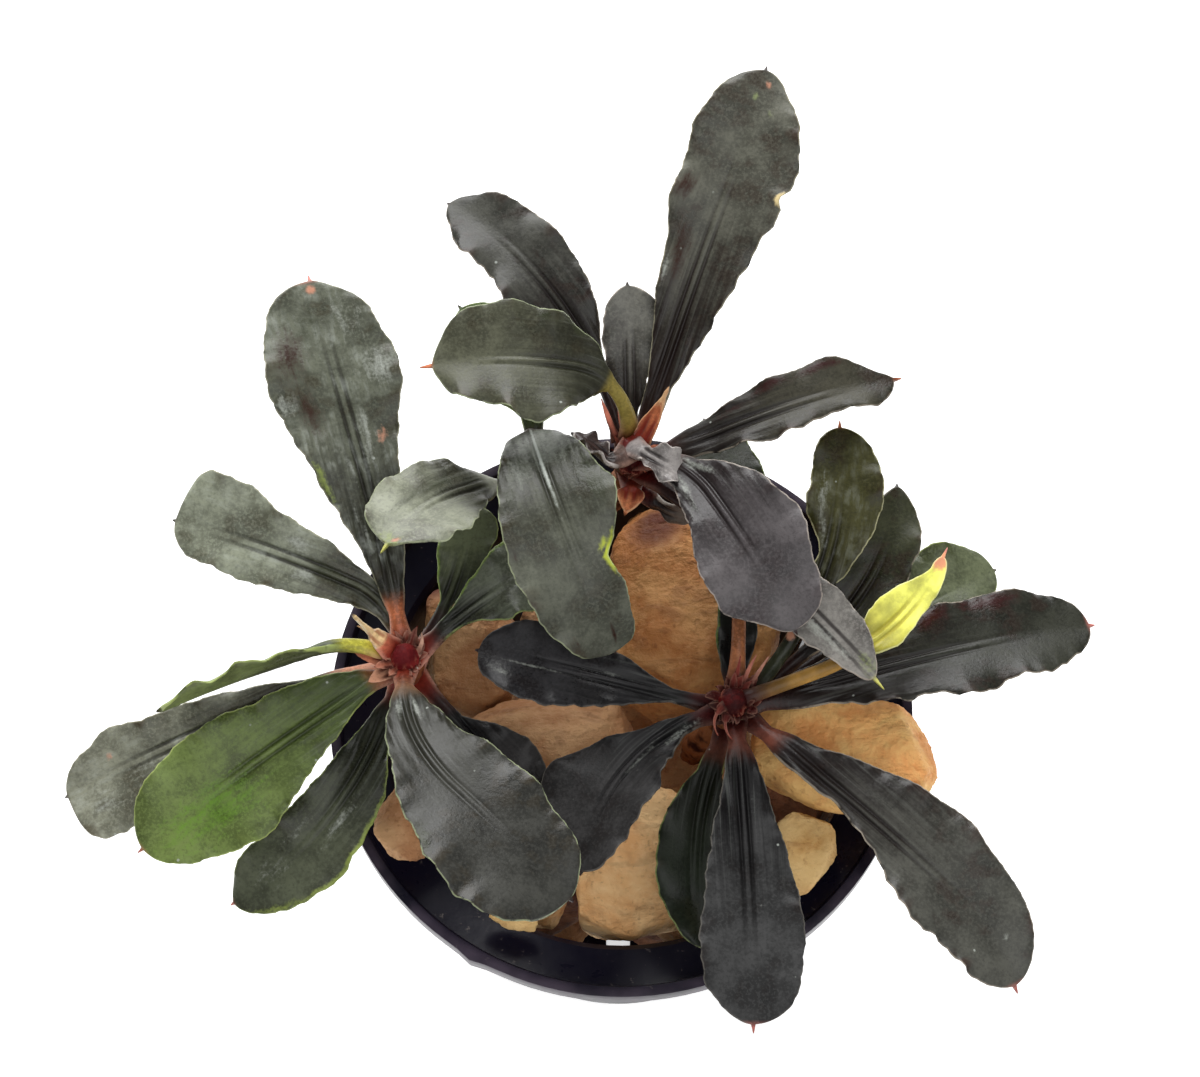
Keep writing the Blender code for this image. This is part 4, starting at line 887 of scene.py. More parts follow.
# Half widths in tenths of a millimetre at 16 even steps from stalk to point, the left
# side first.
OUTLINES = {
    "leaf_top_long": (
        (6, 8, 14, 19, 25, 30, 34, 37, 43, 49, 47, 49, 51, 44, 39, 34),
        (7, 10, 17, 23, 28, 33, 38, 43, 46, 54, 57, 58, 54, 46, 30, 26)),
    "leaf_top_left": (
        (6, 7, 12, 19, 27, 33, 38, 42, 42, 36, 33, 35, 36, 30, 21, 17),
        (7, 8, 12, 19, 27, 32, 36, 40, 41, 43, 42, 41, 38, 33, 24, 20)),
    "leaf_top_oval": (
        (10, 24, 33, 40, 47, 56, 62, 64, 61, 52, 45, 43, 41, 35, 24, 16),
        (7, 14, 28, 37, 48, 50, 52, 56, 58, 58, 57, 55, 51, 44, 34, 21)),
    "leaf_top_small": (
        (6, 6, 7, 10, 12, 15, 20, 23, 24, 25, 25, 24, 24, 21, 16, 12),
        (6, 6, 8, 12, 15, 16, 20, 23, 25, 26, 28, 29, 30, 28, 22, 19)),
    "leaf_top_right": (
        (10, 15, 17, 19, 23, 27, 31, 33, 32, 34, 36, 36, 33, 25, 13, 8),
        (9, 13, 17, 20, 22, 25, 28, 27, 27, 24, 22, 20, 21, 25, 22, 15)),
    "leaf_top_front": (
        (7, 12, 19, 29, 40, 47, 50, 54, 59, 58, 54, 49, 45, 41, 36, 32),
        (10, 17, 22, 28, 31, 32, 36, 44, 48, 50, 50, 51, 48, 34, 21, 16)),
    "leaf_top_front_under": (
        (6, 7, 10, 15, 19, 23, 26, 28, 29, 30, 33, 32, 30, 24, 17, 13),
        (6, 7, 10, 15, 20, 24, 27, 28, 29, 25, 27, 26, 21, 18, 14, 12)),
    "leaf_middle_large": (
        (22, 28, 33, 39, 45, 50, 57, 54, 46, 37, 30, 31, 32, 28, 26, 27),
        (22, 27, 31, 37, 44, 49, 53, 57, 59, 60, 58, 55, 51, 43, 35, 31)),
    "leaf_middle_left": (
        (7, 15, 22, 28, 32, 37, 42, 46, 49, 51, 51, 50, 45, 30, 21, 18),
        (7, 20, 31, 40, 44, 44, 43, 45, 46, 46, 46, 45, 42, 38, 31, 22)),
    "leaf_left_tall": (
        (7, 13, 17, 23, 30, 37, 43, 48, 55, 61, 65, 65, 61, 55, 48, 45),
        (8, 12, 18, 22, 26, 29, 34, 40, 46, 55, 60, 59, 53, 47, 34, 19)),
    "leaf_left_outer": (
        (8, 10, 14, 18, 21, 23, 26, 29, 31, 34, 35, 33, 31, 31, 27, 24),
        (5, 6, 10, 13, 17, 22, 27, 30, 33, 36, 42, 50, 53, 54, 54, 57)),
    "leaf_left_dark": (
        (6, 8, 14, 22, 32, 40, 46, 49, 51, 53, 55, 55, 55, 55, 56, 61),
        (6, 6, 10, 15, 20, 23, 27, 29, 32, 34, 34, 38, 41, 32, 26, 21)),
    "leaf_left_bright": (
        (5, 9, 15, 22, 28, 34, 40, 48, 56, 61, 59, 55, 49, 42, 32, 28),
        (10, 21, 29, 35, 40, 43, 45, 50, 54, 55, 55, 52, 50, 43, 34, 27)),
    "leaf_left_low": (
        (5, 5, 10, 19, 27, 33, 37, 39, 43, 46, 45, 42, 37, 31, 23, 16),
        (9, 13, 17, 22, 26, 28, 29, 32, 33, 33, 33, 33, 34, 31, 22, 16)),
    "leaf_left_front": (
        (9, 19, 27, 33, 39, 44, 49, 52, 53, 53, 53, 48, 46, 41, 33, 23),
        (5, 13, 21, 26, 31, 38, 47, 56, 62, 71, 74, 76, 75, 68, 57, 52)),
    "leaf_left_upright": (
        (5, 5, 8, 12, 16, 19, 21, 23, 25, 26, 27, 28, 27, 24, 19, 16),
        (6, 5, 8, 12, 16, 19, 21, 23, 25, 26, 27, 28, 28, 25, 20, 17)),
    "leaf_left_inner": (
        (10, 10, 11, 14, 17, 21, 25, 28, 31, 34, 37, 38, 35, 30, 25, 22),
        (7, 7, 8, 10, 14, 19, 25, 30, 33, 35, 36, 36, 34, 30, 25, 22)),
    "leaf_right_low_left": (
        (6, 7, 12, 19, 27, 35, 41, 46, 48, 48, 47, 45, 41, 37, 32, 30),
        (7, 8, 13, 18, 23, 31, 41, 50, 60, 67, 67, 63, 56, 48, 39, 34)),
    "leaf_right_front": (
        (10, 15, 20, 24, 28, 31, 35, 39, 43, 45, 47, 48, 45, 41, 37, 34),
        (8, 12, 16, 20, 25, 30, 33, 37, 39, 42, 45, 46, 46, 41, 32, 25)),
    "leaf_right_low": (
        (10, 17, 22, 32, 41, 47, 52, 56, 61, 60, 53, 52, 50, 42, 32, 27),
        (10, 13, 14, 14, 12, 17, 24, 27, 39, 48, 51, 46, 42, 41, 34, 26)),
    "leaf_right_outer": (
        (10, 17, 23, 30, 36, 39, 38, 40, 48, 47, 50, 49, 47, 41, 36, 33),
        (10, 17, 23, 30, 37, 41, 40, 43, 53, 52, 45, 43, 45, 39, 30, 26)),
    "leaf_right_up": (
        (6, 6, 5, 6, 8, 12, 9, 14, 22, 29, 31, 27, 26, 25, 21, 18),
        (7, 7, 7, 8, 13, 20, 26, 31, 36, 40, 41, 41, 39, 34, 26, 21)),
    "leaf_right_up_second": (
        (6, 7, 10, 15, 21, 26, 31, 35, 37, 33, 31, 31, 29, 23, 15, 10),
        (6, 7, 10, 15, 20, 24, 28, 30, 32, 32, 31, 31, 29, 23, 15, 10)),
    "leaf_right_up_third": (
        (6, 6, 8, 13, 17, 21, 25, 28, 30, 33, 41, 46, 44, 38, 32, 31),
        (6, 6, 8, 13, 18, 22, 27, 31, 34, 37, 38, 38, 36, 31, 25, 22)),
    "leaf_right_young": (
        (8, 16, 21, 25, 27, 27, 27, 26, 24, 21, 17, 13, 9, 6, 6, 6),
        (7, 12, 16, 19, 20, 19, 18, 16, 15, 15, 14, 14, 13, 11, 9, 8)),
    "leaf_right_dark": (
        (9, 12, 14, 16, 18, 19, 19, 19, 19, 20, 20, 19, 18, 15, 12, 10),
        (6, 11, 14, 16, 18, 19, 19, 19, 19, 20, 20, 19, 18, 16, 13, 10)),
}


@dataclass(frozen=True)
class LeafGauge:
    """Sizes that every leaf shares, in millimetres, and how finely it is drawn.

    wing_length is how fast the widening of the stalk's foot dies away along the stalk.
    gradual and sudden are the parts of the blade over which it opens from its stalk, the
    sudden one for a long stalk. ridge is the height and half width of the midrib, groove
    the depth, place and half width of the two grooves beside it. powers make a section
    round on the stalk and flat on the blade. The reddened foot starts at red_from along
    the stalk, and film is the width and length of the pale skin along it.
    """

    stalk_radius: float = 0.64
    wing_length: float = 2.6
    clasp: float = 26.0
    base_inward: float = 2.0
    thickness: float = 0.46
    keel: float = 0.3
    tip_half_width: float = 0.2
    wave_length: float = 4.4
    drawn_in: float = 0.12
    flat_after: float = 0.2
    roll_after: float = 0.35
    rounded_after: float = 0.9
    gradual: tuple[float, float] = (-0.16, 0.1)
    sudden: tuple[float, float] = (-0.03, 0.05)
    long_stalk: float = 4.9
    drift: tuple[float, float] = (1.2, 1.3)
    finer: tuple[float, float] = (2.3, 5.1)
    broad_share: float = 0.7
    fine_shares: tuple[float, float] = (0.35, 0.25)
    drawn_shares: tuple[float, float, float] = (0.6, 0.5, 0.25)
    full_wave_width: float = 3.0
    wing_thinning: float = 0.75
    wing_core: float = 0.75
    powers: tuple[float, float] = (2.0, 5.0)
    keel_width: float = 0.7
    keel_fade: float = 0.75
    crease: float = 0.3
    ridge: tuple[float, float] = (0.1, 0.2)
    groove: tuple[float, float, float] = (0.17, 0.44, 0.17)
    ridge_fades: tuple[float, float] = (0.25, 0.85)
    swell_height: float = 0.035
    fold_height: float = 0.06
    folds_fade: tuple[float, float] = (0.1, 0.6)
    dark_fades: tuple[float, float] = (0.04, 0.62)
    film: tuple[float, float] = (0.5, 3.0)
    red_from: float = -1.0
    mark_falloff: float = 0.8
    path_steps: int = 120
    rows_per_mm: float = 4.0
    most_rows: int = 120
    least_rows: int = 24
    stalk_rows: int = 14
    tip_rows: int = 6
    rib_columns: tuple[float, ...] = (0.0, 0.1, 0.2, 0.3, 0.42, 0.54, 0.68, 0.85)
    outer_columns: int = 11


@dataclass(frozen=True)
class Grid:
    """Where the points of one leaf lie, by row, by column or one by one, in millimetres.

    t is the fraction of the blade, below 0 on the stalk, along the distance from the
    stalk's base, flat 0 on the round stalk and 1 on the flat blade, foot how far the
    stalk has widened into its wings, upper 1 on top and 0 underneath, wide the half
    width, signed the distance from the midrib, positive to the left, share the same as a
    part of wide, and edge the distance from the margin.
    """

    t: np.ndarray
    along: np.ndarray
    flat: np.ndarray
    foot: np.ndarray
    upper: np.ndarray
    wide: np.ndarray
    share: np.ndarray
    signed: np.ndarray
    edge: np.ndarray


class LeafShape:
    """Works out the fine surface of one leaf."""

    def __init__(self, leaf: Leaf, seed: int, gauge: LeafGauge) -> None:
        """Lay the midrib and settle the waves of the margins.

        Args:
            leaf: the leaf.
            seed: settles its waves.
            gauge: the sizes that leaves share.
        """
        self.leaf = leaf
        self.gauge = gauge
        self.seed = seed
        draw = random.Random(seed)
        self.phases = (draw.uniform(0.0, TAU), draw.uniform(0.0, TAU))
        self.fine_phases = [draw.uniform(0.0, TAU) for _ in range(6)]
        self.length = leaf.stalk + leaf.blade
        self.opens = leaf.opens or (gauge.sudden if leaf.stalk > gauge.long_stalk else gauge.gradual)
        self.path = self.lay_path()

    def frames(self, u: np.ndarray) -> tuple[np.ndarray, np.ndarray, np.ndarray]:
        """Find how the leaf lies.

        Args:
            u: fractions of its length.

        Returns:
            The direction, the left side and the top side at each.
        """
        leaf = self.leaf
        clipped = np.clip(u, 0.0, 1.0)
        begin, end = leaf.turn
        turned = np.clip((clipped - begin) / (end - begin), 0.0, 1.0)
        turn = np.radians(leaf.heading + leaf.swing * turned)
        slope = np.radians(leaf.rise - leaf.arch * clipped ** leaf.late)
        level = np.cos(slope)
        ahead = np.stack([level * np.cos(turn), level * np.sin(turn), np.sin(slope)], -1)
        side = np.stack([-np.sin(turn), np.cos(turn), np.zeros_like(turn)], -1)
        above = np.cross(ahead, side)
        roll = np.radians(leaf.roll) * np.minimum(1.0, clipped / self.gauge.roll_after)
        cosine, sine = np.cos(roll)[:, None], np.sin(roll)[:, None]
        return ahead, side * cosine + above * sine, above * cosine - side * sine

    def lay_path(self) -> np.ndarray:
        """Lay the midrib.

        Returns:
            Points from the stalk's base to the blade's end.
        """
        leaf, steps = self.leaf, self.gauge.path_steps
        start = math.radians(leaf.heading)
        base = np.array([leaf.crown.x + leaf.reach * math.cos(start),
                         leaf.crown.y + leaf.reach * math.sin(start), leaf.crown.z + leaf.lift])
        ahead = self.frames((np.arange(steps) + 0.5) / steps)[0]
        moves = np.cumsum(ahead, 0) * (self.length / steps)
        return np.vstack([base, base + moves])

    def centre(self, u: np.ndarray) -> np.ndarray:
        """Find points on the midrib, which runs on straight past both ends.

        Args:
            u: fractions of the leaf's length.

        Returns:
            The point at each.
        """
        steps = self.gauge.path_steps
        place = np.clip(u, 0.0, 1.0) * steps
        marks = np.arange(steps + 1)
        found = np.stack([np.interp(place, marks, self.path[:, k]) for k in range(3)], -1)
        ahead = self.frames(u)[0]
        beyond = (np.minimum(u, 0.0) + np.maximum(u - 1.0, 0.0)) * self.length
        return found + ahead * beyond[:, None]

    def half_width(self, t: np.ndarray, side: int) -> np.ndarray:
        """Find half the blade's width.

        Args:
            t: fractions of the blade.
            side: 0 for the left, 1 for the right.

        Returns:
            The half width at each.
        """
        leaf, gauge = self.leaf, self.gauge
        inside = np.clip(t, 1e-6, 1.0 - 1e-6)
        if leaf.name in OUTLINES:
            widths = np.array(OUTLINES[leaf.name][side]) / 10.0
            drawn = smooth_curve(inside * (len(widths) - 1.0), widths)
            rounding = np.clip((inside - gauge.rounded_after) / (1.0 - gauge.rounded_after), 0.0, 1.0)
            width = drawn * np.sqrt(1.0 - rounding ** 2)
        else:
            bulge = np.sin(math.pi * inside ** (math.log(0.5) / math.log(leaf.widest)))
            width = 0.5 * leaf.width * bulge ** np.where(inside < leaf.widest, leaf.taper, leaf.blunt)
        return np.where((t > 0.0) & (t < 1.0), width, 0.0)

    def margin(self, t: np.ndarray, side: int) -> tuple[np.ndarray, np.ndarray, np.ndarray]:
        """Work out how a margin waves.

        Args:
            t: fractions of the blade.
            side: 0 for the left, 1 for the right.

        Returns:
            How far its broad and fine waves lift it, and how far it is drawn in.
        """
        leaf, gauge = self.leaf, self.gauge
        first, second, third = self.fine_phases[3 * side:3 * side + 3]
        cycles = leaf.blade / gauge.wave_length
        drift = gauge.drift[0] * np.sin(TAU * gauge.drift[1] * t + first)
        waves = (np.sin(TAU * cycles * t + second + drift),
                 np.sin(TAU * cycles * gauge.finer[0] * t + third - drift),
                 np.sin(TAU * cycles * gauge.finer[1] * t + second + 2.0 * drift))
        broad = gauge.broad_share * leaf.ruffle * np.sin(TAU * leaf.waves * t + self.phases[side])
        fine = leaf.ruffle * sum(share * wave for share, wave in zip(gauge.fine_shares, waves))
        drawn = gauge.drawn_in * sum(share * wave for share, wave in zip(gauge.drawn_shares, waves))
        return broad, fine, drawn

    def rows(self) -> np.ndarray:
        """Choose the rows.

        Returns:
            Fractions of the blade at which the leaf is drawn, below 0 on the stalk.
        """
        leaf, gauge = self.leaf, self.gauge
        count = int(min(gauge.most_rows, max(gauge.least_rows, leaf.blade * gauge.rows_per_mm)))
        step = np.linspace(0.0, 1.0, count)
        blade = 0.3 * step + 0.35 * (1.0 - np.cos(math.pi * step))
        blade[-1] = 1.0
        foot = -(leaf.stalk + gauge.base_inward) / leaf.blade
        stalk = np.linspace(foot, 0.0, gauge.stalk_rows, endpoint=False)
        tip = 1.0 + np.linspace(0.0, 1.0, gauge.tip_rows + 1)[1:] * leaf.tip_length / leaf.blade
        return np.concatenate([stalk, blade, tip])

    def columns(self) -> tuple[np.ndarray, np.ndarray]:
        """Choose the columns.

        Returns:
            Fractions of the half width round the section, and 1 for each on top.
        """
        gauge = self.gauge
        outer = np.sin(0.5 * math.pi * np.linspace(0.0, 1.0, gauge.outer_columns + 1)[1:])
        inner = np.array(gauge.rib_columns) / 4.0
        half = np.concatenate([inner, inner[-1] + (1.0 - inner[-1]) * outer])
        top = np.concatenate([half[::-1], -half[1:]])
        under = -top[1:-1]
        ring = np.concatenate([top, under, top[:1]])
        upper = np.concatenate([np.ones(len(top)), np.zeros(len(under)), np.ones(1)])
        return ring, upper

    def outline(self, t: np.ndarray, foot: np.ndarray, gate: np.ndarray,
                left: np.ndarray) -> tuple[np.ndarray, np.ndarray, np.ndarray]:
        """The margins of stalk, blade and tip.

        Args:
            t: fractions of the blade.
            foot: how far the stalk has widened into its wings.
            gate: how freely the margins wave.
            left: which columns lie on the left side.

        Returns:
            The half width and the lift of the margin's broad and fine waves, for each row
            and column.
        """
        leaf, gauge = self.leaf, self.gauge
        past = np.clip((t - 1.0) * leaf.blade / leaf.tip_length, 0.0, 1.0)
        point = gauge.tip_half_width * (1.0 - 0.85 * past)
        least = np.where(t < leaf.widest, gauge.stalk_radius + foot, point)
        sides = []
        for k, sign in enumerate((1.0, -1.0)):
            low, high = self.opens
            full = float(self.half_width(np.array([high]), k)[0])
            opening = gauge.stalk_radius + (full - gauge.stalk_radius) * smooth_step(low, high, t)
            blade = np.where(t < high, opening, self.half_width(t, k))
            free = gate * np.minimum(1.0, blade / gauge.full_wave_width)
            broad, fine, drawn = self.margin(t, k)
            width = blade - free * drawn
            for nick in leaf.nicks:
                if nick.side == sign:
                    away = (t - nick.along) * leaf.blade / nick.long
                    width = width - nick.deep * np.exp(-away ** 2)
            sides.append((np.maximum(width, least), broad * free, fine * free))
        return tuple(np.where(left[None, :], mine[:, None], other[:, None])
                     for mine, other in zip(*sides))

    def grid(self, t: np.ndarray, ring: np.ndarray, upper: np.ndarray) -> tuple[Grid, np.ndarray]:
        """Place the leaf's points across its width.

        Args:
            t: fractions of the blade, one for each row.
            ring: fractions of the half width, one for each column.
            upper: 1 for the columns on top.

        Returns:
            The grid, and the lift of the margin's broad and fine waves at each point.
        """
        leaf, gauge = self.leaf, self.gauge
        left = ring >= 0.0
        flat = smooth_step(0.0, gauge.flat_after, t)
        from_base = t * leaf.blade + leaf.stalk
        from_foot = np.maximum(from_base + gauge.base_inward, 0.0)
        foot = leaf.wing * np.exp(-(from_foot / gauge.wing_length) ** 1.6)
        wide, broad, fine = self.outline(t, foot, flat, left)
        share = np.abs(ring)[None, :]
        share = np.where(share < 0.25, share * np.minimum(1.0, 4.0 / np.maximum(wide, 0.1)), share)
        signed = np.where(left, 1.0, -1.0)[None, :] * share * wide
        slope = np.gradient(wide, t * leaf.blade, axis=0)
        edge = np.where(t[:, None] < 1.0, (wide - np.abs(signed)) / np.sqrt(1.0 + slope ** 2), 9.0)
        made = Grid(t[:, None], from_base[:, None], flat[:, None], foot[:, None], upper[None, :],
                    wide, share, signed, edge)
        return made, np.stack([broad, fine])

    def surface(self) -> tuple[np.ndarray, dict[str, np.ndarray]]:
        """Work out the whole leaf.

        Returns:
            Its points in metres and the values that its material reads.
        """
        leaf = self.leaf
        t = self.rows()
        u = (leaf.stalk + t * leaf.blade) / self.length
        grid, (broad, fine) = self.grid(t, *self.columns())
        height = broad * grid.share ** 2.2 + fine * grid.share ** 5 + self.heights(grid)
        fold = np.radians(leaf.fold) * grid.flat
        ahead, side, above = self.frames(u)
        places = (self.centre(u)[:, None, :] + side[:, None, :] * (grid.signed * np.cos(fold))[..., None]
                  + above[:, None, :] * height[..., None])
        places[0] = places[0].mean(0)
        places[-1] = places[-1].mean(0)
        wave = np.clip((broad + fine) / max(leaf.ruffle, 0.1), -1.0, 1.0)
        wave = 0.5 + 0.5 * wave * grid.share ** 3
        seeds = np.full(grid.signed.shape, 1.0 + self.seed)
        values = {
            "leaf_place": stacked(grid.signed, grid.along, grid.edge),
            "leaf_state": stacked(grid.t, grid.upper, seeds),
            "leaf_tone": np.concatenate([self.tones(grid), wave[..., None]], -1),
            "leaf_mark": self.marks(grid),
        }
        return places * MM, values

    def heights(self, grid: Grid) -> np.ndarray:
        """Work out how far each point stands above the midrib's path without its waves.

        Args:
            grid: the leaf's points.

        Returns:
            The height in millimetres for each row and column.
        """
        leaf, gauge = self.leaf, self.gauge
        reach = np.abs(grid.signed)
        radius = grid.wide.mean(1)[:, None]
        thick = np.where(grid.t > 1.0, radius, np.minimum(radius, gauge.stalk_radius))
        thick = thick * (1.0 - grid.flat) + 0.5 * gauge.thickness * grid.flat
        thick = np.where(grid.t > leaf.widest, np.minimum(thick, radius), thick)
        winged = grid.foot / max(leaf.wing, 0.01)
        core = np.exp(-(reach / gauge.wing_core) ** 2)
        thick = thick * (1.0 - winged * (gauge.wing_thinning - gauge.wing_thinning * core))
        low, high = gauge.powers
        half = thick * np.sqrt(np.maximum(0.0, 1.0 - grid.share ** (low + (high - low) * grid.flat)))
        keel = gauge.keel * grid.flat * np.exp(-(reach / gauge.keel_width) ** 2)
        keel = keel * (1.0 - gauge.keel_fade * np.clip(grid.t, 0.0, 1.0))
        fold = np.radians(leaf.fold) * grid.flat + np.radians(gauge.clasp) * winged
        crease = np.sqrt(reach ** 2 + gauge.crease) - math.sqrt(gauge.crease)
        return (np.sin(fold) * crease + self.relief(grid)
                + np.where(grid.upper > 0.5, half, -half - keel))

    def relief(self, grid: Grid) -> np.ndarray:
        """Work out the midrib, its two grooves and the folds between the veins.

        Args:
            grid: the leaf's points.

        Returns:
            Their height in millimetres for each row and column.
        """
        gauge = self.gauge
        reach, side = np.abs(grid.signed), np.sign(grid.signed)
        ridge_height, ridge_width = gauge.ridge
        groove_depth, groove_place, groove_width = gauge.groove
        fade = grid.flat * (1.0 - smooth_step(*gauge.ridge_fades, grid.t))
        ridge = (ridge_height * np.exp(-(reach / ridge_width) ** 2)
                 - groove_depth * np.exp(-((reach - groove_place) / groove_width) ** 2))
        first, second, third = self.fine_phases[:3]
        swell = np.sin(grid.along * 0.9 - reach * 1.1 + first + side)
        swell = swell * grid.share * (1.0 - grid.share ** 3)
        folds = (np.sin(reach * 5.2 + second + 0.12 * grid.along + side)
                 + 0.5 * np.sin(reach * 8.7 + third))
        near_base = grid.flat * (1.0 - smooth_step(*gauge.folds_fade, grid.t))
        scale = np.minimum(1.0, 2.0 * reach.max() / 8.0)
        return scale * (fade * ridge + gauge.swell_height * grid.flat * swell
                        + gauge.fold_height * near_base * folds * (grid.share < 0.93))

    def tones(self, grid: Grid) -> np.ndarray:
        """Colour crown end, stalk, blade and tip, before the finer patterns.

        Args:
            grid: the leaf's points.

        Returns:
            The ground colour for each row and column.
        """
        leaf, gauge = self.leaf, self.gauge
        main, stalk = np.array(leaf.main), np.array(leaf.stalk_tone)
        on_blade = smooth_step(0.4 * self.opens[0], self.opens[1], grid.t)
        dark = leaf.darker * (1.0 - smooth_step(*gauge.dark_fades, grid.t))
        blade = main * (1.0 - dark) + np.array(leaf.finish.base) * dark
        colour = stalk * (1.0 - on_blade) + blade * on_blade
        at_tip = smooth_step(0.985, 1.0 + 0.4 / leaf.blade, grid.t)
        colour = (colour * (1.0 - at_tip) + np.array(leaf.tip_tone) * at_tip)[:, None, :]
        film_width, film_length = gauge.film
        near_stem = 1.0 - smooth_step(0.0, film_length, grid.along)
        film = ((1.0 - smooth_step(0.0, film_width, grid.edge)) * near_stem)[..., None]
        red = (1.0 - smooth_step(gauge.red_from, leaf.reddened, grid.along))[..., None]
        colour = colour * (1.0 - red) + np.array(leaf.crown.red) * red
        film = leaf.crown.film * film
        return colour * (1.0 - film) + np.array(MEMBRANE) * film

    def marks(self, grid: Grid) -> np.ndarray:
        """Lay the marks on the blade.

        Args:
            grid: the leaf's points.

        Returns:
            The colour and the strength of the strongest mark at each point.
        """
        leaf = self.leaf
        found = np.zeros((*grid.signed.shape, 4))
        for mark in leaf.marks:
            away = (grid.t - mark.along) * leaf.blade / mark.long
            beside = (grid.signed - mark.across * grid.wide) / mark.wide
            strength = mark.strength * np.exp(-(away ** 2 + beside ** 2) * self.gauge.mark_falloff)
            stronger = (strength > found[..., 3])[..., None]
            found = np.where(stronger, stacked(*mark.colour, strength), found)
        return found


@dataclass
class Foliage:
    """All the leaves and the larger sheaths of the plant."""

    leaves: Sequence[Leaf] = LEAVES
    sheaths: Sequence[Leaf] = SHEATHS
    gauge: LeafGauge = field(default_factory=LeafGauge)
    pieces: dict[str, bpy.types.Object] = field(default_factory=dict)

    def build(self) -> None:
        """Model every leaf and sheath."""
        for group in (self.leaves, self.sheaths):
            for seed, leaf in enumerate(group):
                places, values = LeafShape(leaf, seed, self.gauge).surface()
                self.pieces[leaf.name] = rolled_grid(leaf.name + "_blade", places, values)

    def dress(self) -> None:
        """Give each leaf its material and hand it to the frame."""
        for leaf in (*self.leaves, *self.sheaths):
            piece = self.pieces[leaf.name]
            piece.data.materials.append(leaf.finish.material())
            settle(piece, leaf.finish.slot, leaf.name)


@dataclass(frozen=True)
class StemFinish(Finish):
    """The dark red of the creeping stems, paler where sheaths have worn to threads."""

    name: str = "stem_red"
    deep: Colour = shade(44, 6, 7)
    bright: Colour = shade(88, 16, 15)
    husk: Colour = shade(176, 108, 88)
    old: Colour = shade(136, 84, 52)
    cloud_scale: float = 520.0
    fibre_scale: float = 900.0
    depth: float = 0.00012

    def mix(self, bench: Bench) -> bpy.types.Material:
        """Put the stem's material together.

        Args:
            bench: an empty bench.

        Returns:
            The material.
        """
        body = bench.place()
        ring, fringe, aged = bench.attribute("stem_place")
        cloud = bench.grain(body, self.cloud_scale, 3.0, 0.6)
        fibre = bench.grain(bench.shifted(body, scale=(3.0, 3.0, 0.5)), self.fibre_scale, 2.0, 0.6)
        colour = bench.layered(
            bench.blend(cloud.rise(0.4, 0.62), self.deep, self.bright),
            (fringe * fibre.rise(0.46, 0.6) * 0.7, self.husk),
            (ring * 0.5, self.deep),
            (aged * cloud.rise(0.3, 0.55), self.old),
        )
        return bench.surface(
            Base_Color=colour,
            Roughness=(fibre - 0.5) * 0.4 + 0.6,
            Normal=bench.relief(fibre + cloud, self.depth),
            Specular_IOR_Level=0.12,
        )


@dataclass(frozen=True)
class Stem:
    """A creeping stem: its points, its radii, the radius of its crown, and its finish."""

    name: str
    points: tuple[Point, ...]
    radii: tuple[float, ...]
    crown_radius: float
    finish: StemFinish = StemFinish()


STEMS = (
    Stem("rhizome_left",
         ((-18.4, 0.4, 43.0), (-18.8, 0.8, 49.0), (-19.6, 1.6, 55.0), (-19.8, 1.8, 60.6)),
         (1.1, 1.4, 1.45, 1.2), 1.35, StemFinish("stem_crimson", shade(92, 20, 24), shade(146, 46, 44))),
    Stem("rhizome_right",
         ((7.0, -2.6, 43.0), (7.6, -2.6, 49.0), (9.7, -2.5, 54.5), (10.2, -2.5, 60.6)),
         (1.1, 1.4, 1.45, 1.2), 1.5),
    Stem("rhizome_top",
         ((-4.8, 17.6, 43.0), (-4.0, 18.6, 49.0), (0.4, 20.5, 56.0), (1.0, 20.7, 62.6)),
         (1.1, 1.4, 1.45, 1.2), 1.6),
    Stem("rhizome_middle",
         ((-9.6, 16.8, 43.0), (-9.4, 18.0, 48.0), (-8.5, 19.8, 52.5), (-8.3, 20.4, 57.1)),
         (1.0, 1.3, 1.3, 1.1), 1.3),
)


def husk(name: str, crown: Crown, heading: float, swing: float, rise: float, lift: float,
         blade: float, width: float, reach: float, main: Colour) -> Leaf:
    """One torn strip of an old sheath, in the terms of a leaf.

    Args:
        name: the strip's name.
        crown: the crown that it stands at.
        heading: the way it leaves the crown, in degrees.
        swing: how far it has turned at its point.
        rise: its slope at its foot.
        lift: the height of its foot above the crown point.
        blade: its length.
        width: its width.
        reach: how far from the crown's middle it starts.
        main: its colour.

    Returns:
        The strip.
    """
    return Leaf(name, crown, heading, swing, rise, 0.6 * rise, lift, 0.3, blade, width=width, widest=0.3,
                blunt=0.6, fold=30, reach=reach, finish=HUSK, main=main, ruffle=min(0.35, 0.35 * width),
                tip_tone=main, tip_length=0.15, darker=0.5, reddened=1.2, wing=0.3)


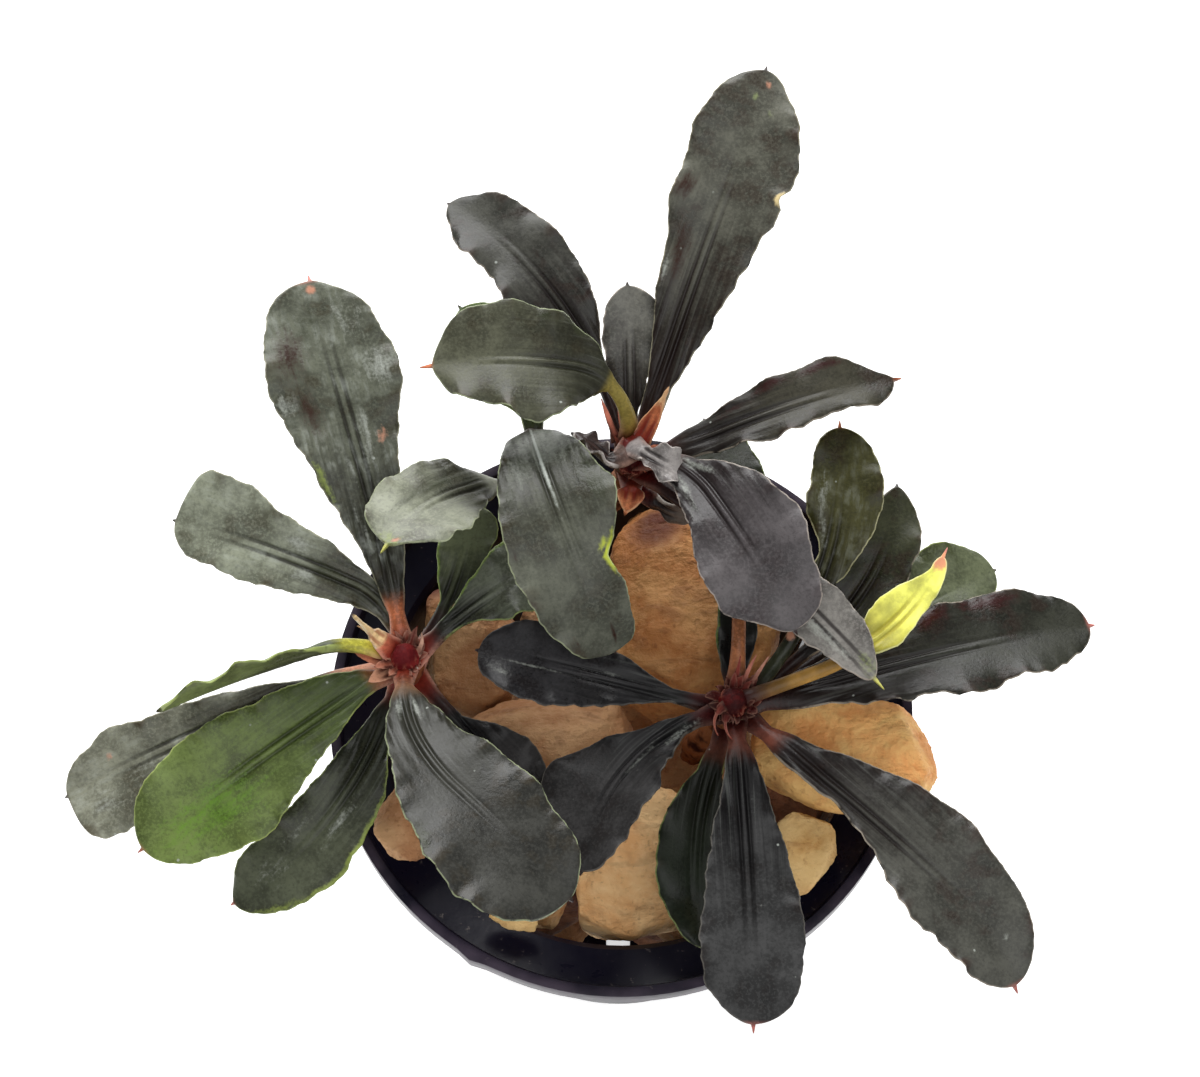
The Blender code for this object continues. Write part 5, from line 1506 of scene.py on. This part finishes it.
@dataclass(frozen=True)
class Tuft:
    """The torn strips of old sheaths that stand close round a crown.

    They are pale towards pale_heading and deep on the other side. special holds the
    single strips that stand out.
    """

    crown: Crown
    pale_heading: float
    pale: Colour
    deep: Colour
    count: int = 24
    lift: float = -1.3
    special: tuple[Leaf, ...] = ()

    def strips(self, seed: int) -> list[Leaf]:
        """Place every strip.

        Args:
            seed: settles the strips' own differences.

        Returns:
            The strips.
        """
        draw = random.Random(seed)
        made = list(self.special)
        for i in range(self.count):
            heading = 360.0 * (i + draw.uniform(-0.5, 0.5)) / self.count
            towards = 0.5 + 0.5 * math.cos(math.radians(heading - self.pale_heading))
            share = min(1.0, max(0.0, towards ** 2 + draw.uniform(-0.3, 0.25)))
            tone = tuple(low + (high - low) * share for low, high in zip(self.deep, self.pale))
            made.append(husk(
                f"strip_{i}", self.crown, heading, draw.uniform(-50, 50), draw.uniform(52, 84),
                self.lift + draw.uniform(-0.7, 0.6), draw.uniform(0.9, 1.9),
                draw.uniform(0.5, 1.2), draw.uniform(0.8, 1.4), tone))
        return made


TUFTS = {
    "rhizome_left": Tuft(LEFT, -165.0, shade(150, 90, 70), shade(84, 26, 24), 16, special=(
        husk("broad_left", LEFT, 176, 4, 24, -1.2, 3.4, 2.6, 0.9, shade(158, 96, 72)),
        husk("broad_front", LEFT, -140, -10, 20, -1.3, 2.8, 2.0, 1.0, shade(160, 116, 92)),
        husk("beige_front", LEFT, -96, 16, 20, -1.2, 3.4, 0.8, 1.2, shade(186, 148, 116)),
        husk("pale_right", LEFT, 24, 80, 70, -0.9, 2.0, 0.5, 1.2, shade(186, 146, 126)),
        husk("spike", LEFT, 148, 16, 66, -0.6, 2.8, 0.6, 2.6, shade(228, 186, 138)))),
    "rhizome_right": Tuft(RIGHT, 55.0, shade(92, 36, 30), shade(30, 6, 8), special=(
        husk("spike_first", RIGHT, 66, -8, 56, -1.0, 3.0, 0.5, 1.8, shade(172, 108, 92)),
        husk("spike_second", RIGHT, 50, 6, 48, -1.2, 3.0, 0.45, 2.2, shade(184, 130, 112)),
        husk("spike_third", RIGHT, 84, -6, 52, -1.0, 2.6, 0.5, 1.6, shade(110, 44, 38)),
        husk("strip", RIGHT, -150, 90, 10, -0.1, 3.0, 0.35, 1.0, shade(122, 62, 50)),
        husk("strip_under", RIGHT, -120, 70, 8, -0.5, 2.4, 0.35, 1.2, shade(104, 48, 40)))),
    "rhizome_top": Tuft(TOP, 30.0, shade(190, 110, 80), shade(104, 36, 28), 16, special=(
        husk("spike_left", TOP, 128, -16, 76, -0.6, 4.2, 0.7, 2.6, shade(196, 118, 98)),
        husk("spike_right", TOP, 112, -16, 74, -0.6, 4.2, 0.6, 1.9, shade(200, 124, 100)))),
    "rhizome_middle": Tuft(MIDDLE, 0.0, shade(120, 70, 50), shade(100, 50, 38), 8),
}


@dataclass
class Stems:
    """The creeping stems with their crowns, and the ragged scales round each crown.

    dome is the height of the low dome at the top, knobs how far the bark swells in and
    out and ring_height how far its rings stand out, both as shares of the radius.
    """

    stems: Sequence[Stem] = STEMS
    scale_gauge: LeafGauge = field(default_factory=lambda: LeafGauge(
        stalk_radius=0.32, wing_length=1.2, base_inward=0.5, thickness=0.14, keel=0.0,
        tip_half_width=0.07, wave_length=1.5, drawn_in=0.16, stalk_rows=4, least_rows=26, tip_rows=2,
        rib_columns=(0.0, 0.5), outer_columns=7))
    rows: int = 60
    columns: int = 40
    crown_depth: float = 3.4
    ring_pitch: float = 1.7
    dome: float = 1.3
    knobs: float = 0.2
    ring_height: float = 0.07
    pieces: dict[str, bpy.types.Object] = field(default_factory=dict)
    fringes: dict[str, bpy.types.Object] = field(default_factory=dict)

    def build(self) -> None:
        """Model each stem and its scales."""
        for seed, stem in enumerate(self.stems):
            self.pieces[stem.name] = self.bark(stem, seed)
            self.fringes[stem.name] = self.scales(stem, seed)

    def bark(self, stem: Stem, seed: int) -> bpy.types.Object:
        """One knobbly ringed stem that swells into its crown and ends in a low dome.

        Args:
            stem: the stem.
            seed: settles its knobs.

        Returns:
            The stem's piece.
        """
        points = np.array(stem.points)
        place = np.linspace(0.0, len(points) - 1.0, self.rows)
        eased = np.stack([smooth_curve(place, points[:, k]) for k in range(3)], -1)
        radius = smooth_curve(place, np.array(stem.radii))
        top = eased[-1, 2]
        below = top - eased[:, 2]
        radius = radius + (stem.crown_radius - radius) * (1.0 - smooth_step(0.8, self.crown_depth, below))
        dome = np.sqrt(np.clip(below / self.dome, 0.0, 1.0))
        radius = radius * np.where(below < self.dome, 0.25 + 0.75 * dome, 1.0)
        angle = np.linspace(0.0, TAU, self.columns + 1)
        turn = (np.cos(angle), np.sin(angle))
        rings = 0.5 + 0.5 * np.sin(TAU * below / self.ring_pitch + 0.4 * np.sin(3.0 * below))
        rows = []
        for i in range(self.rows):
            drift = below[i] * 0.7 + seed * 5.0
            wobble = [1.0 + self.knobs * noise.noise(Vector((c * 1.6, s * 1.6, drift)))
                      for c, s in zip(*turn)]
            reach = radius[i] * np.array(wobble) * (1.0 + self.ring_height * rings[i] ** 3)
            reach[-1] = reach[0]
            x, y, z = eased[i]
            rows.append(stacked(x + reach * turn[0], y + reach * turn[1], z))
        places = np.array(rows)
        places[0] = places[0].mean(0)
        places[-1] = places[-1].mean(0) + (0.0, 0.0, 0.25)
        fringe = (1.0 - smooth_step(1.2, 2.4, below)) * smooth_step(0.3, 1.2, below)
        aged = smooth_step(1.6, 4.0, below)
        values = np.stack([rings, fringe, aged], -1)[:, None, :]
        values = np.broadcast_to(values, places.shape)
        return rolled_grid(stem.name + "_bark", places * MM, {"stem_place": values})

    def scales(self, stem: Stem, seed: int) -> bpy.types.Object:
        """The ragged scale leaves round a crown, joined in one piece.

        Args:
            stem: the stem that carries the crown.
            seed: settles the scales' own differences.

        Returns:
            The joined piece.
        """
        made = []
        for i, leaf in enumerate(TUFTS[stem.name].strips(seed)):
            places, values = LeafShape(leaf, 100 * seed + i, self.scale_gauge).surface()
            made.append(rolled_grid(leaf.name, places, values))
        choose(*made)
        bpy.ops.object.join()
        made[0].name = stem.name.replace("rhizome", "scales")
        made[0].data.name = made[0].name
        return made[0]

    def dress(self) -> None:
        """Give stems and scales their materials and hand them to the frame."""
        for stem in self.stems:
            piece = self.pieces[stem.name]
            piece.data.materials.append(stem.finish.material())
            settle(piece, Slot.STEM, stem.name)
        for piece in self.fringes.values():
            piece.data.materials.append(HUSK.material())
            settle(piece, Slot.SHEATH)


@dataclass(frozen=True)
class RockFinish(Finish):
    """A porous, water-worn rock; stain is how strongly its dark bands show."""

    name: str
    slot: Slot
    main: Colour
    light: Colour
    dark: Colour
    stain: float = 0.4
    cloud_scale: float = 160.0
    band_scale: float = 190.0
    fine_scale: float = 1300.0
    pore_scale: float = 620.0
    depth: float = 0.0005

    def mix(self, bench: Bench) -> bpy.types.Material:
        """Put the rock's material together.

        Args:
            bench: an empty bench.

        Returns:
            The material.
        """
        body = bench.place()
        shaded, _, _ = bench.attribute("rock_state")
        cloud = bench.grain(body, self.cloud_scale, 4.0, 0.62, 0.4)
        banded = bench.shifted(body, (0.2, 0.4, 0.0), (1.0, 3.0, 2.2))
        band = bench.grain(banded, self.band_scale, 3.0, 0.6, 0.6)
        fine = bench.grain(body, self.fine_scale, 3.0, 0.65)
        pore = bench.dots(bench.shifted(body, (0.1, 0.0, 0.2)), self.pore_scale)
        pit = pore.rise(0.22, 0.1) * cloud.rise(0.46, 0.6)
        colour = bench.layered(
            bench.blend(cloud.rise(0.38, 0.62), self.main, self.light),
            (band.rise(0.52, 0.68) * self.stain, self.dark),
            (fine.rise(0.56, 0.7) * 0.35, self.dark),
            (fine.rise(0.44, 0.34) * 0.3, self.light),
            # Painted shade in the pores.
            (pit * 0.15, self.dark),
            # Painted shade: dark red-brown on the stones near and under the crowns.
            (shaded * (band * 0.6 + 0.6), PAINTED_ROCK_SHADE),
        )
        return bench.surface(
            Base_Color=colour,
            Roughness=(fine - 0.5) * 0.5 + 0.72,
            Normal=bench.relief(fine * 0.6 + cloud * 0.7 + band * 0.9 - pit * 0.2, self.depth),
            Specular_IOR_Level=0.35,
        )


# The dark red-brown painted on the stones as shade near and under the crowns.
PAINTED_ROCK_SHADE = shade(88, 42, 28)
TAN_ROCK = RockFinish(
    "rock_tan", Slot.STONE_TAN, shade(171, 121, 80), shade(198, 154, 110), shade(104, 62, 40))
# A brighter copy of the tan rock for the front stones: painted light, where they lie out of the leaves'
# shade.
LIT_TAN_ROCK = replace(
    TAN_ROCK, name="rock_sand", main=shade(224, 168, 110), light=shade(242, 200, 144), stain=0.25)
AMBER_ROCK = replace(
    TAN_ROCK, name="rock_amber", main=shade(180, 118, 66), light=shade(206, 152, 96), stain=0.35)
ORANGE_ROCK = RockFinish(
    "rock_orange", Slot.STONE_ORANGE, shade(236, 162, 94), shade(250, 202, 128), shade(176, 104, 56), 0.3)
PALE_ROCK = RockFinish(
    "rock_pale", Slot.STONE_PALE, shade(196, 150, 88), shade(222, 186, 126), shade(150, 100, 54), 0.4)
# A dark red-brown copy of the rock: painted shade for the stones that lie low in the gaps between the
# others.
PAINTED_SHADE_ROCK = RockFinish(
    "rock_dark", Slot.STONE_DARK, shade(92, 52, 38), shade(140, 92, 62), shade(52, 26, 20), 0.6)

STONES = {
    "stone_back_slab": AMBER_ROCK,
    "stone_left": TAN_ROCK,
    "stone_centre": TAN_ROCK,
    "stone_front": LIT_TAN_ROCK,
    "stone_right_orange": ORANGE_ROCK,
    "stone_pale": PALE_ROCK,
    "stone_left_front": TAN_ROCK,
    "stone_chip": PALE_ROCK,
    "stone_dark": PAINTED_SHADE_ROCK,
    "stone_right_small": TAN_ROCK,
    "stone_left_low": PAINTED_SHADE_ROCK,
    "stone_front_left": LIT_TAN_ROCK,
    "stones_lower_1": TAN_ROCK,
    "stones_lower_2": PAINTED_SHADE_ROCK,
    "stones_lower_3": TAN_ROCK,
    "stones_lower_4": TAN_ROCK,
    "stones_lower_5": PAINTED_SHADE_ROCK,
}


@dataclass(frozen=True)
class ShadedPlace:
    """A place near the crowns where the stones are painted darker as shade, out to its reach."""

    centre: Point
    reach: float


@dataclass(frozen=True)
class Swelling:
    """A flank of a stone that stands out by shift, less and less out to its reach."""

    centre: Point
    reach: float
    shift: Point


# Places near and under the crowns where the stones are painted darker as shade.
SHADED_PLACES = (
    ShadedPlace((-2.0, 21.5, 58.5), 4.2),
    ShadedPlace((3.0, 19.0, 51.0), 4.5),
    ShadedPlace((-18.5, 12.5, 49.5), 4.0),
    ShadedPlace((13.0, -10.0, 53.0), 3.0),
    ShadedPlace((-13.0, 0.5, 54.0), 2.6),
)

SWELLINGS = {
    "stone_left": Swelling((-18.0, 10.0, 46.5), 7.0, (0.0, 0.0, 4.0)),
    "stone_back_slab": Swelling((15.0, 10.0, 47.0), 7.0, (1.4, 0.0, 0.0)),
}


@dataclass
class Stones:
    """The stones in the pot, worn from the model's own faceted ones."""

    nodes: Mapping[str, bpy.types.Object]
    finishes: Mapping[str, RockFinish] = field(default_factory=lambda: STONES)
    voxel: float = 0.34
    lower_voxel: float = 0.55
    wear_steps: int = 7
    swell: float = 0.2
    pit: float = 0.3
    pieces: dict[str, bpy.types.Object] = field(default_factory=dict)

    def build(self) -> None:
        """Wear every stone."""
        for seed, name in enumerate(self.finishes):
            self.pieces[name] = self.worn(name, seed)

    def worn(self, name: str, seed: int) -> bpy.types.Object:
        """A copy of a faceted stone with rounded edges and a pitted, swelling surface.

        Args:
            name: the stone's solid.
            seed: settles its swells and pits.

        Returns:
            The worn stone.
        """
        node = self.nodes[name]
        piece = bpy.data.objects.new(name + "_rock", node.data.copy())
        piece.data.name = piece.name
        piece.data.materials.clear()
        bpy.context.scene.collection.objects.link(piece)
        choose(piece)
        bpy.ops.object.mode_set(mode="EDIT")
        bpy.ops.mesh.select_all(action="SELECT")
        bpy.ops.mesh.remove_doubles(threshold=1e-6)
        bpy.ops.object.mode_set(mode="OBJECT")
        voxel = self.lower_voxel if "lower" in name else self.voxel
        reshape(piece, "REMESH", mode="VOXEL", voxel_size=voxel * MM)
        reshape(piece, "SMOOTH", factor=0.5, iterations=self.wear_steps)
        self.weather(name, piece.data, seed)
        self.paint_shade(piece.data)
        bpy.ops.object.shade_smooth()
        return piece

    def weather(self, name: str, mesh: bpy.types.Mesh, seed: int) -> None:
        """Press swells and pits into a stone, and push out the flank that has a swelling.

        Args:
            name: the stone's solid.
            mesh: its mesh.
            seed: settles its swells and pits.
        """
        drift = Vector((1.0, 2.0, 3.0)) * (seed * 7.3)
        bulge = SWELLINGS.get(name)
        moved = []
        for vertex in mesh.vertices:
            spot = vertex.co / MM
            broad = noise.noise(spot * 0.32 + drift)
            ridge = 1.0 - abs(noise.noise(spot * 0.8 + drift)) * 2.0
            small = noise.noise(spot * 1.9 + drift)
            hollow = max(0.0, noise.noise(spot * 0.95 - drift) - 0.22)
            depth = self.swell * (0.9 * broad - 0.5 * ridge + 0.35 * small - 0.4) - self.pit * hollow
            place = vertex.co + vertex.normal * (depth * MM)
            if bulge:
                near = max(0.0, 1.0 - (spot - Vector(bulge.centre)).length / bulge.reach)
                place += Vector(bulge.shift) * (near * near * (3.0 - 2.0 * near) * MM)
            moved.append(place)
        for vertex, place in zip(mesh.vertices, moved):
            vertex.co = place
        mesh.update()

    @staticmethod
    def paint_shade(mesh: bpy.types.Mesh) -> None:
        """Note how strongly painted shade darkens the rock at each point, most near the shaded places.

        Args:
            mesh: the stone's mesh.
        """
        flat = np.empty(len(mesh.vertices) * 3, np.float32)
        mesh.vertices.foreach_get("co", flat)
        places = flat.reshape(-1, 3) / MM
        shaded = np.zeros_like(places)
        for shade_spot in SHADED_PLACES:
            away = np.linalg.norm(places - np.array(shade_spot.centre), axis=1)
            unshaded = smooth_step(0.4 * shade_spot.reach, shade_spot.reach, away)
            shaded[:, 0] = np.maximum(shaded[:, 0], 1.0 - unshaded)
        store = mesh.attributes.new("rock_state", "FLOAT_VECTOR", "POINT")
        store.data.foreach_set("vector", shaded.astype(np.float32).ravel())

    def dress(self) -> None:
        """Give each stone its rock and hand it to the frame."""
        for name, piece in self.pieces.items():
            finish = self.finishes[name]
            piece.data.materials.append(finish.material())
            settle(piece, finish.slot, name)


@dataclass(frozen=True)
class PotFinish(Finish):
    """Near-black moulded plastic with a blue cast and a little dust, with a painted highlight along the
    top of its lip.
    """

    name: str = "pot_plastic"
    plastic: Colour = shade(14, 12, 27)
    # worn is the painted highlight along the top of the lip, where the flat rim faces up.
    worn: Colour = shade(66, 57, 70)
    dust: Colour = shade(120, 112, 108)
    cloud_scale: float = 120.0
    fine_scale: float = 1600.0
    scuff_scale: float = 500.0
    depth: float = 0.00012

    def mix(self, bench: Bench) -> bpy.types.Material:
        """Put the pot's material together.

        Args:
            bench: an empty bench.

        Returns:
            The material.
        """
        body = bench.place()
        parts = bench.node("ShaderNodeSeparateXYZ", {}, {0: body})
        height = Signal(bench, parts.outputs[2])
        reach = bench.node("ShaderNodeVectorMath", {"operation": "LENGTH"},
                           {0: bench.shifted(body, scale=(1.0, 1.0, 0.0))})
        radius = Signal(bench, reach.outputs["Value"])
        cloud = bench.grain(body, self.cloud_scale, 3.0, 0.6)
        fine = bench.grain(body, self.fine_scale, 2.0, 0.6)
        scuff = bench.grain(bench.shifted(body, scale=(1.0, 1.0, 5.0)), self.scuff_scale, 3.0, 0.7)
        # The top of the lip, painted lighter as a highlight.
        lip = radius.rise(0.0262, 0.0272) * height.rise(0.046, 0.048)
        colour = bench.layered(
            self.plastic,
            (lip * cloud.rise(0.3, 0.6), self.worn),
            (fine.rise(0.62, 0.7) * scuff.rise(0.5, 0.66) * 0.5, self.dust),
        )
        return bench.surface(
            Base_Color=colour,
            Roughness=(cloud - 0.5) * 0.3 + (scuff - 0.5) * 0.25 + 0.34,
            Normal=bench.relief(cloud * 0.7 + fine * 0.12, self.depth),
            Specular_IOR_Level=0.2,
        )


@dataclass
class NetPot:
    """The round net pot: a turned body with slots, in millimetres.

    The nub on its lip, where the mould was fed, lies at nub_angle. Edges sharper than
    round_from degrees are rounded, and those sharper than sharp_from are shaded as edges.
    """

    height: float = 50.0
    rim_radius: float = 27.5
    lip_width: float = 0.9
    lip_drop: float = 2.4
    lip_step: float = 1.0
    flange_slope: float = 0.8
    mouth_radius: float = 22.3
    base_radius: float = 18.6
    wall: float = 1.2
    rounding: float = 0.16
    sides: int = 120
    slots_around: int = 20
    slot_width: float = 2.6
    slot_depth: float = 9.0
    slot_tiers: tuple[tuple[float, float], ...] = ((5.0, 22.0), (26.0, 43.0))
    base_slots: int = 8
    base_slot_reach: tuple[float, float] = (6.5, 14.5)
    slot_corner: float = 0.6
    nub_angle: float = -120.0
    nub_reach: float = 2.6
    nub_height: float = 0.35
    round_from: float = 32.0
    sharp_from: float = 34.0
    finish: PotFinish = field(default_factory=PotFinish)
    piece: bpy.types.Object | None = None

    def profile(self) -> list[tuple[float, float]]:
        """Draw the pot's section.

        Returns:
            Radius and height of each step outside, over the rim and down the inside.
        """
        lip_inner = self.rim_radius - self.lip_width
        outer = self.height - self.lip_step
        inner = outer - self.flange_slope
        under = inner - self.wall
        lip_foot = self.height - self.lip_drop
        return [
            (self.mouth_radius + self.wall, under), (lip_inner, under + 0.6), (lip_inner, lip_foot),
            (self.rim_radius, lip_foot), (self.rim_radius, self.height), (lip_inner, self.height),
            (lip_inner - 0.3, outer), (self.mouth_radius + 0.5, inner),
            (self.mouth_radius, inner - 0.5), (self.base_radius - self.wall, self.wall),
        ]

    def build(self) -> None:
        """Turn the body, cut its slots and round its edges."""
        deselect()
        bpy.ops.mesh.primitive_circle_add(
            vertices=self.sides, radius=self.base_radius * MM, fill_type="NGON")
        body = bpy.context.object
        body.name = "net_pot_moulding"
        body.data.name = body.name
        bpy.ops.object.mode_set(mode="EDIT")
        bpy.ops.mesh.select_all(action="SELECT")
        radius, level = self.base_radius, 0.0
        for next_radius, next_level in self.profile():
            bpy.ops.mesh.extrude_region_move(
                TRANSFORM_OT_translate={"value": (0.0, 0.0, (next_level - level) * MM)})
            share = next_radius / radius
            bpy.ops.transform.resize(value=(share, share, 1.0), center_override=(0.0, 0.0, 0.0))
            radius, level = next_radius, next_level
        bpy.ops.mesh.select_all(action="SELECT")
        bpy.ops.mesh.normals_make_consistent(inside=False)
        bpy.ops.object.mode_set(mode="OBJECT")
        self.cut_slots(body)
        self.piece = body

    def cut_slots(self, body: bpy.types.Object) -> None:
        """Cut the slots of wall and floor, then round every edge a little.

        Args:
            body: the turned body.
        """
        middle = 0.5 * (self.base_radius + self.mouth_radius)
        cutters = [self.cutter(TAU * (i + 0.5) / self.slots_around, middle, self.slot_depth, low, high)
                   for low, high in self.slot_tiers for i in range(self.slots_around)]
        inner, outer = self.base_slot_reach
        cutters += [self.cutter(TAU * i / self.base_slots, 0.5 * (inner + outer), outer - inner, -2.0, 3.0)
                    for i in range(self.base_slots)]
        choose(*cutters)
        bpy.ops.object.join()
        choose(body)
        reshape(body, "BOOLEAN", operation="DIFFERENCE", solver="EXACT", object=cutters[0])
        bpy.data.objects.remove(cutters[0])
        reshape(body, "BEVEL", width=self.rounding * MM, segments=3, limit_method="ANGLE",
                angle_limit=math.radians(self.round_from), harden_normals=False)
        self.raise_nub(body.data)
        bpy.ops.object.shade_smooth_by_angle(angle=math.radians(self.sharp_from))

    def cutter(self, angle: float, radius: float, depth: float, low: float,
               high: float) -> bpy.types.Object:
        """One block with rounded corners, standing in the wall or the floor.

        Args:
            angle: where it stands round the pot, in radians.
            radius: how far its middle is from the pot's axis.
            depth: its length along the radius.
            low: its lower end.
            high: its upper end.

        Returns:
            The block.
        """
        deselect()
        bpy.ops.mesh.primitive_cube_add(size=1.0)
        block = bpy.context.object
        block.scale = (depth * MM, self.slot_width * MM, (high - low) * MM)
        bpy.ops.object.transform_apply(location=False, rotation=False, scale=True)
        mesh = bmesh.new()
        mesh.from_mesh(block.data)
        along = [edge for edge in mesh.edges
                 if abs((edge.verts[0].co - edge.verts[1].co).normalized().x) > 0.9]
        bmesh.ops.bevel(mesh, geom=along, offset=self.slot_corner * MM, segments=4, affect="EDGES",
                        profile=0.5)
        mesh.to_mesh(block.data)
        mesh.free()
        block.location = (radius * math.cos(angle) * MM, radius * math.sin(angle) * MM,
                          0.5 * (low + high) * MM)
        block.rotation_euler = (0.0, 0.0, angle)
        bpy.ops.object.transform_apply(location=True, rotation=True, scale=False)
        return block

    def raise_nub(self, mesh: bpy.types.Mesh) -> None:
        """Swell the lip's outside a little where the mould was fed.

        Args:
            mesh: the pot's mesh.
        """
        way = math.radians(self.nub_angle)
        for vertex in mesh.vertices:
            radius = math.hypot(vertex.co.x, vertex.co.y) / MM
            if radius < self.rim_radius - 0.4:
                continue
            turn = math.atan2(vertex.co.y, vertex.co.x) - way
            swell = self.nub_height * math.exp(-(turn / math.radians(self.nub_reach)) ** 4)
            vertex.co.x *= 1.0 + swell / radius
            vertex.co.y *= 1.0 + swell / radius

    def dress(self) -> None:
        """Give the pot its plastic and hand it to the frame."""
        self.piece.data.materials.append(self.finish.material())
        settle(self.piece, Slot.POT, "net_pot")


@dataclass(frozen=True)
class Panel:
    """A soft square light: its place and size in metres, and its power in watts."""

    name: str
    place: Point
    size: float
    power: float


@dataclass
class Studio:
    """A pale floor, soft light and the camera, looking steeply down from the front.

    The floor's size and the height that the panels face are in metres. focal_share is
    the focal length as a share of the picture's width.
    """

    target: Point = (-2.0, 17.0, 50.0)
    distance: float = 250.0
    elevation: float = 69.0
    focal_share: float = 2583.0 / 1200.0
    sensor: float = 36.0
    floor_size: float = 3.0
    floor_colour: Colour = shade(250, 250, 250)
    floor_glow: float = 0.6
    world_strength: float = 0.3
    faced_height: float = 0.05
    panels: tuple[Panel, ...] = (
        Panel("back_panel", (-0.12, 0.68, 0.48), 0.6, 9.0),
        Panel("front_panel", (0.2, -0.42, 0.85), 0.9, 4.5),
    )

    def build(self) -> None:
        """Set up floor, light and camera."""
        self.lay_floor()
        self.light_world()
        for panel in self.panels:
            self.hang(panel)
        self.place_camera()

    def lay_floor(self) -> None:
        """A wide pale floor at the pot's underside."""
        deselect()
        bpy.ops.mesh.primitive_plane_add(size=self.floor_size)
        floor = bpy.context.object
        floor.name = "floor"
        bench = Bench("floor_paper")
        tooth = bench.grain(bench.place(), 900.0, 2.0, 0.5)
        low = tuple(0.985 * part for part in self.floor_colour)
        floor.data.materials.append(bench.surface(
            Base_Color=bench.blend(tooth.rise(0.4, 0.6), low, self.floor_colour), Roughness=0.9,
            Specular_IOR_Level=0.1, Emission_Color=(1.0, 1.0, 1.0), Emission_Strength=self.floor_glow))

    def light_world(self) -> None:
        """An even pale surrounding."""
        world = bpy.data.worlds.new("pale_room")
        world.use_nodes = True
        back = world.node_tree.nodes["Background"]
        back.inputs["Color"].default_value = (1.0, 1.0, 1.0, 1.0)
        back.inputs["Strength"].default_value = self.world_strength
        bpy.context.scene.world = world

    def hang(self, panel: Panel) -> None:
        """Hang a panel so that it faces the plant.

        Args:
            panel: the panel.
        """
        light = bpy.data.lights.new(panel.name, "AREA")
        light.shape = "SQUARE"
        light.size = panel.size
        light.energy = panel.power
        lamp = bpy.data.objects.new(panel.name, light)
        bpy.context.scene.collection.objects.link(lamp)
        lamp.location = panel.place
        towards = Vector((0.0, 0.0, self.faced_height)) - Vector(panel.place)
        lamp.rotation_euler = towards.to_track_quat("-Z", "Y").to_euler()

    def place_camera(self) -> None:
        """The camera at the photograph's angle, and plain display colours."""
        lens = bpy.data.cameras.new("camera")
        camera = bpy.data.objects.new("camera", lens)
        bpy.context.scene.collection.objects.link(camera)
        tilt = math.radians(self.elevation)
        back = Vector((0.0, -math.cos(tilt), math.sin(tilt)))
        camera.location = (Vector(self.target) + back * self.distance) * MM
        camera.rotation_euler = (-back).to_track_quat("-Z", "Y").to_euler()
        lens.sensor_width = self.sensor
        lens.lens = self.focal_share * self.sensor
        lens.clip_start = 0.01
        bpy.context.scene.camera = camera
        bpy.context.scene.view_settings.view_transform = "Standard"


def main() -> None:
    """Dress the whole plant, piece by piece."""
    logging.basicConfig(level=logging.INFO, format="%(name)s %(message)s")
    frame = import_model()
    Studio().build()
    for part in (NetPot(), Stones(frame["nodes"]), Stems(), Foliage()):
        part.build()
        part.dress()
        log.info("%s is done", type(part).__name__)
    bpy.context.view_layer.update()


if __name__ == "__main__":
    main()
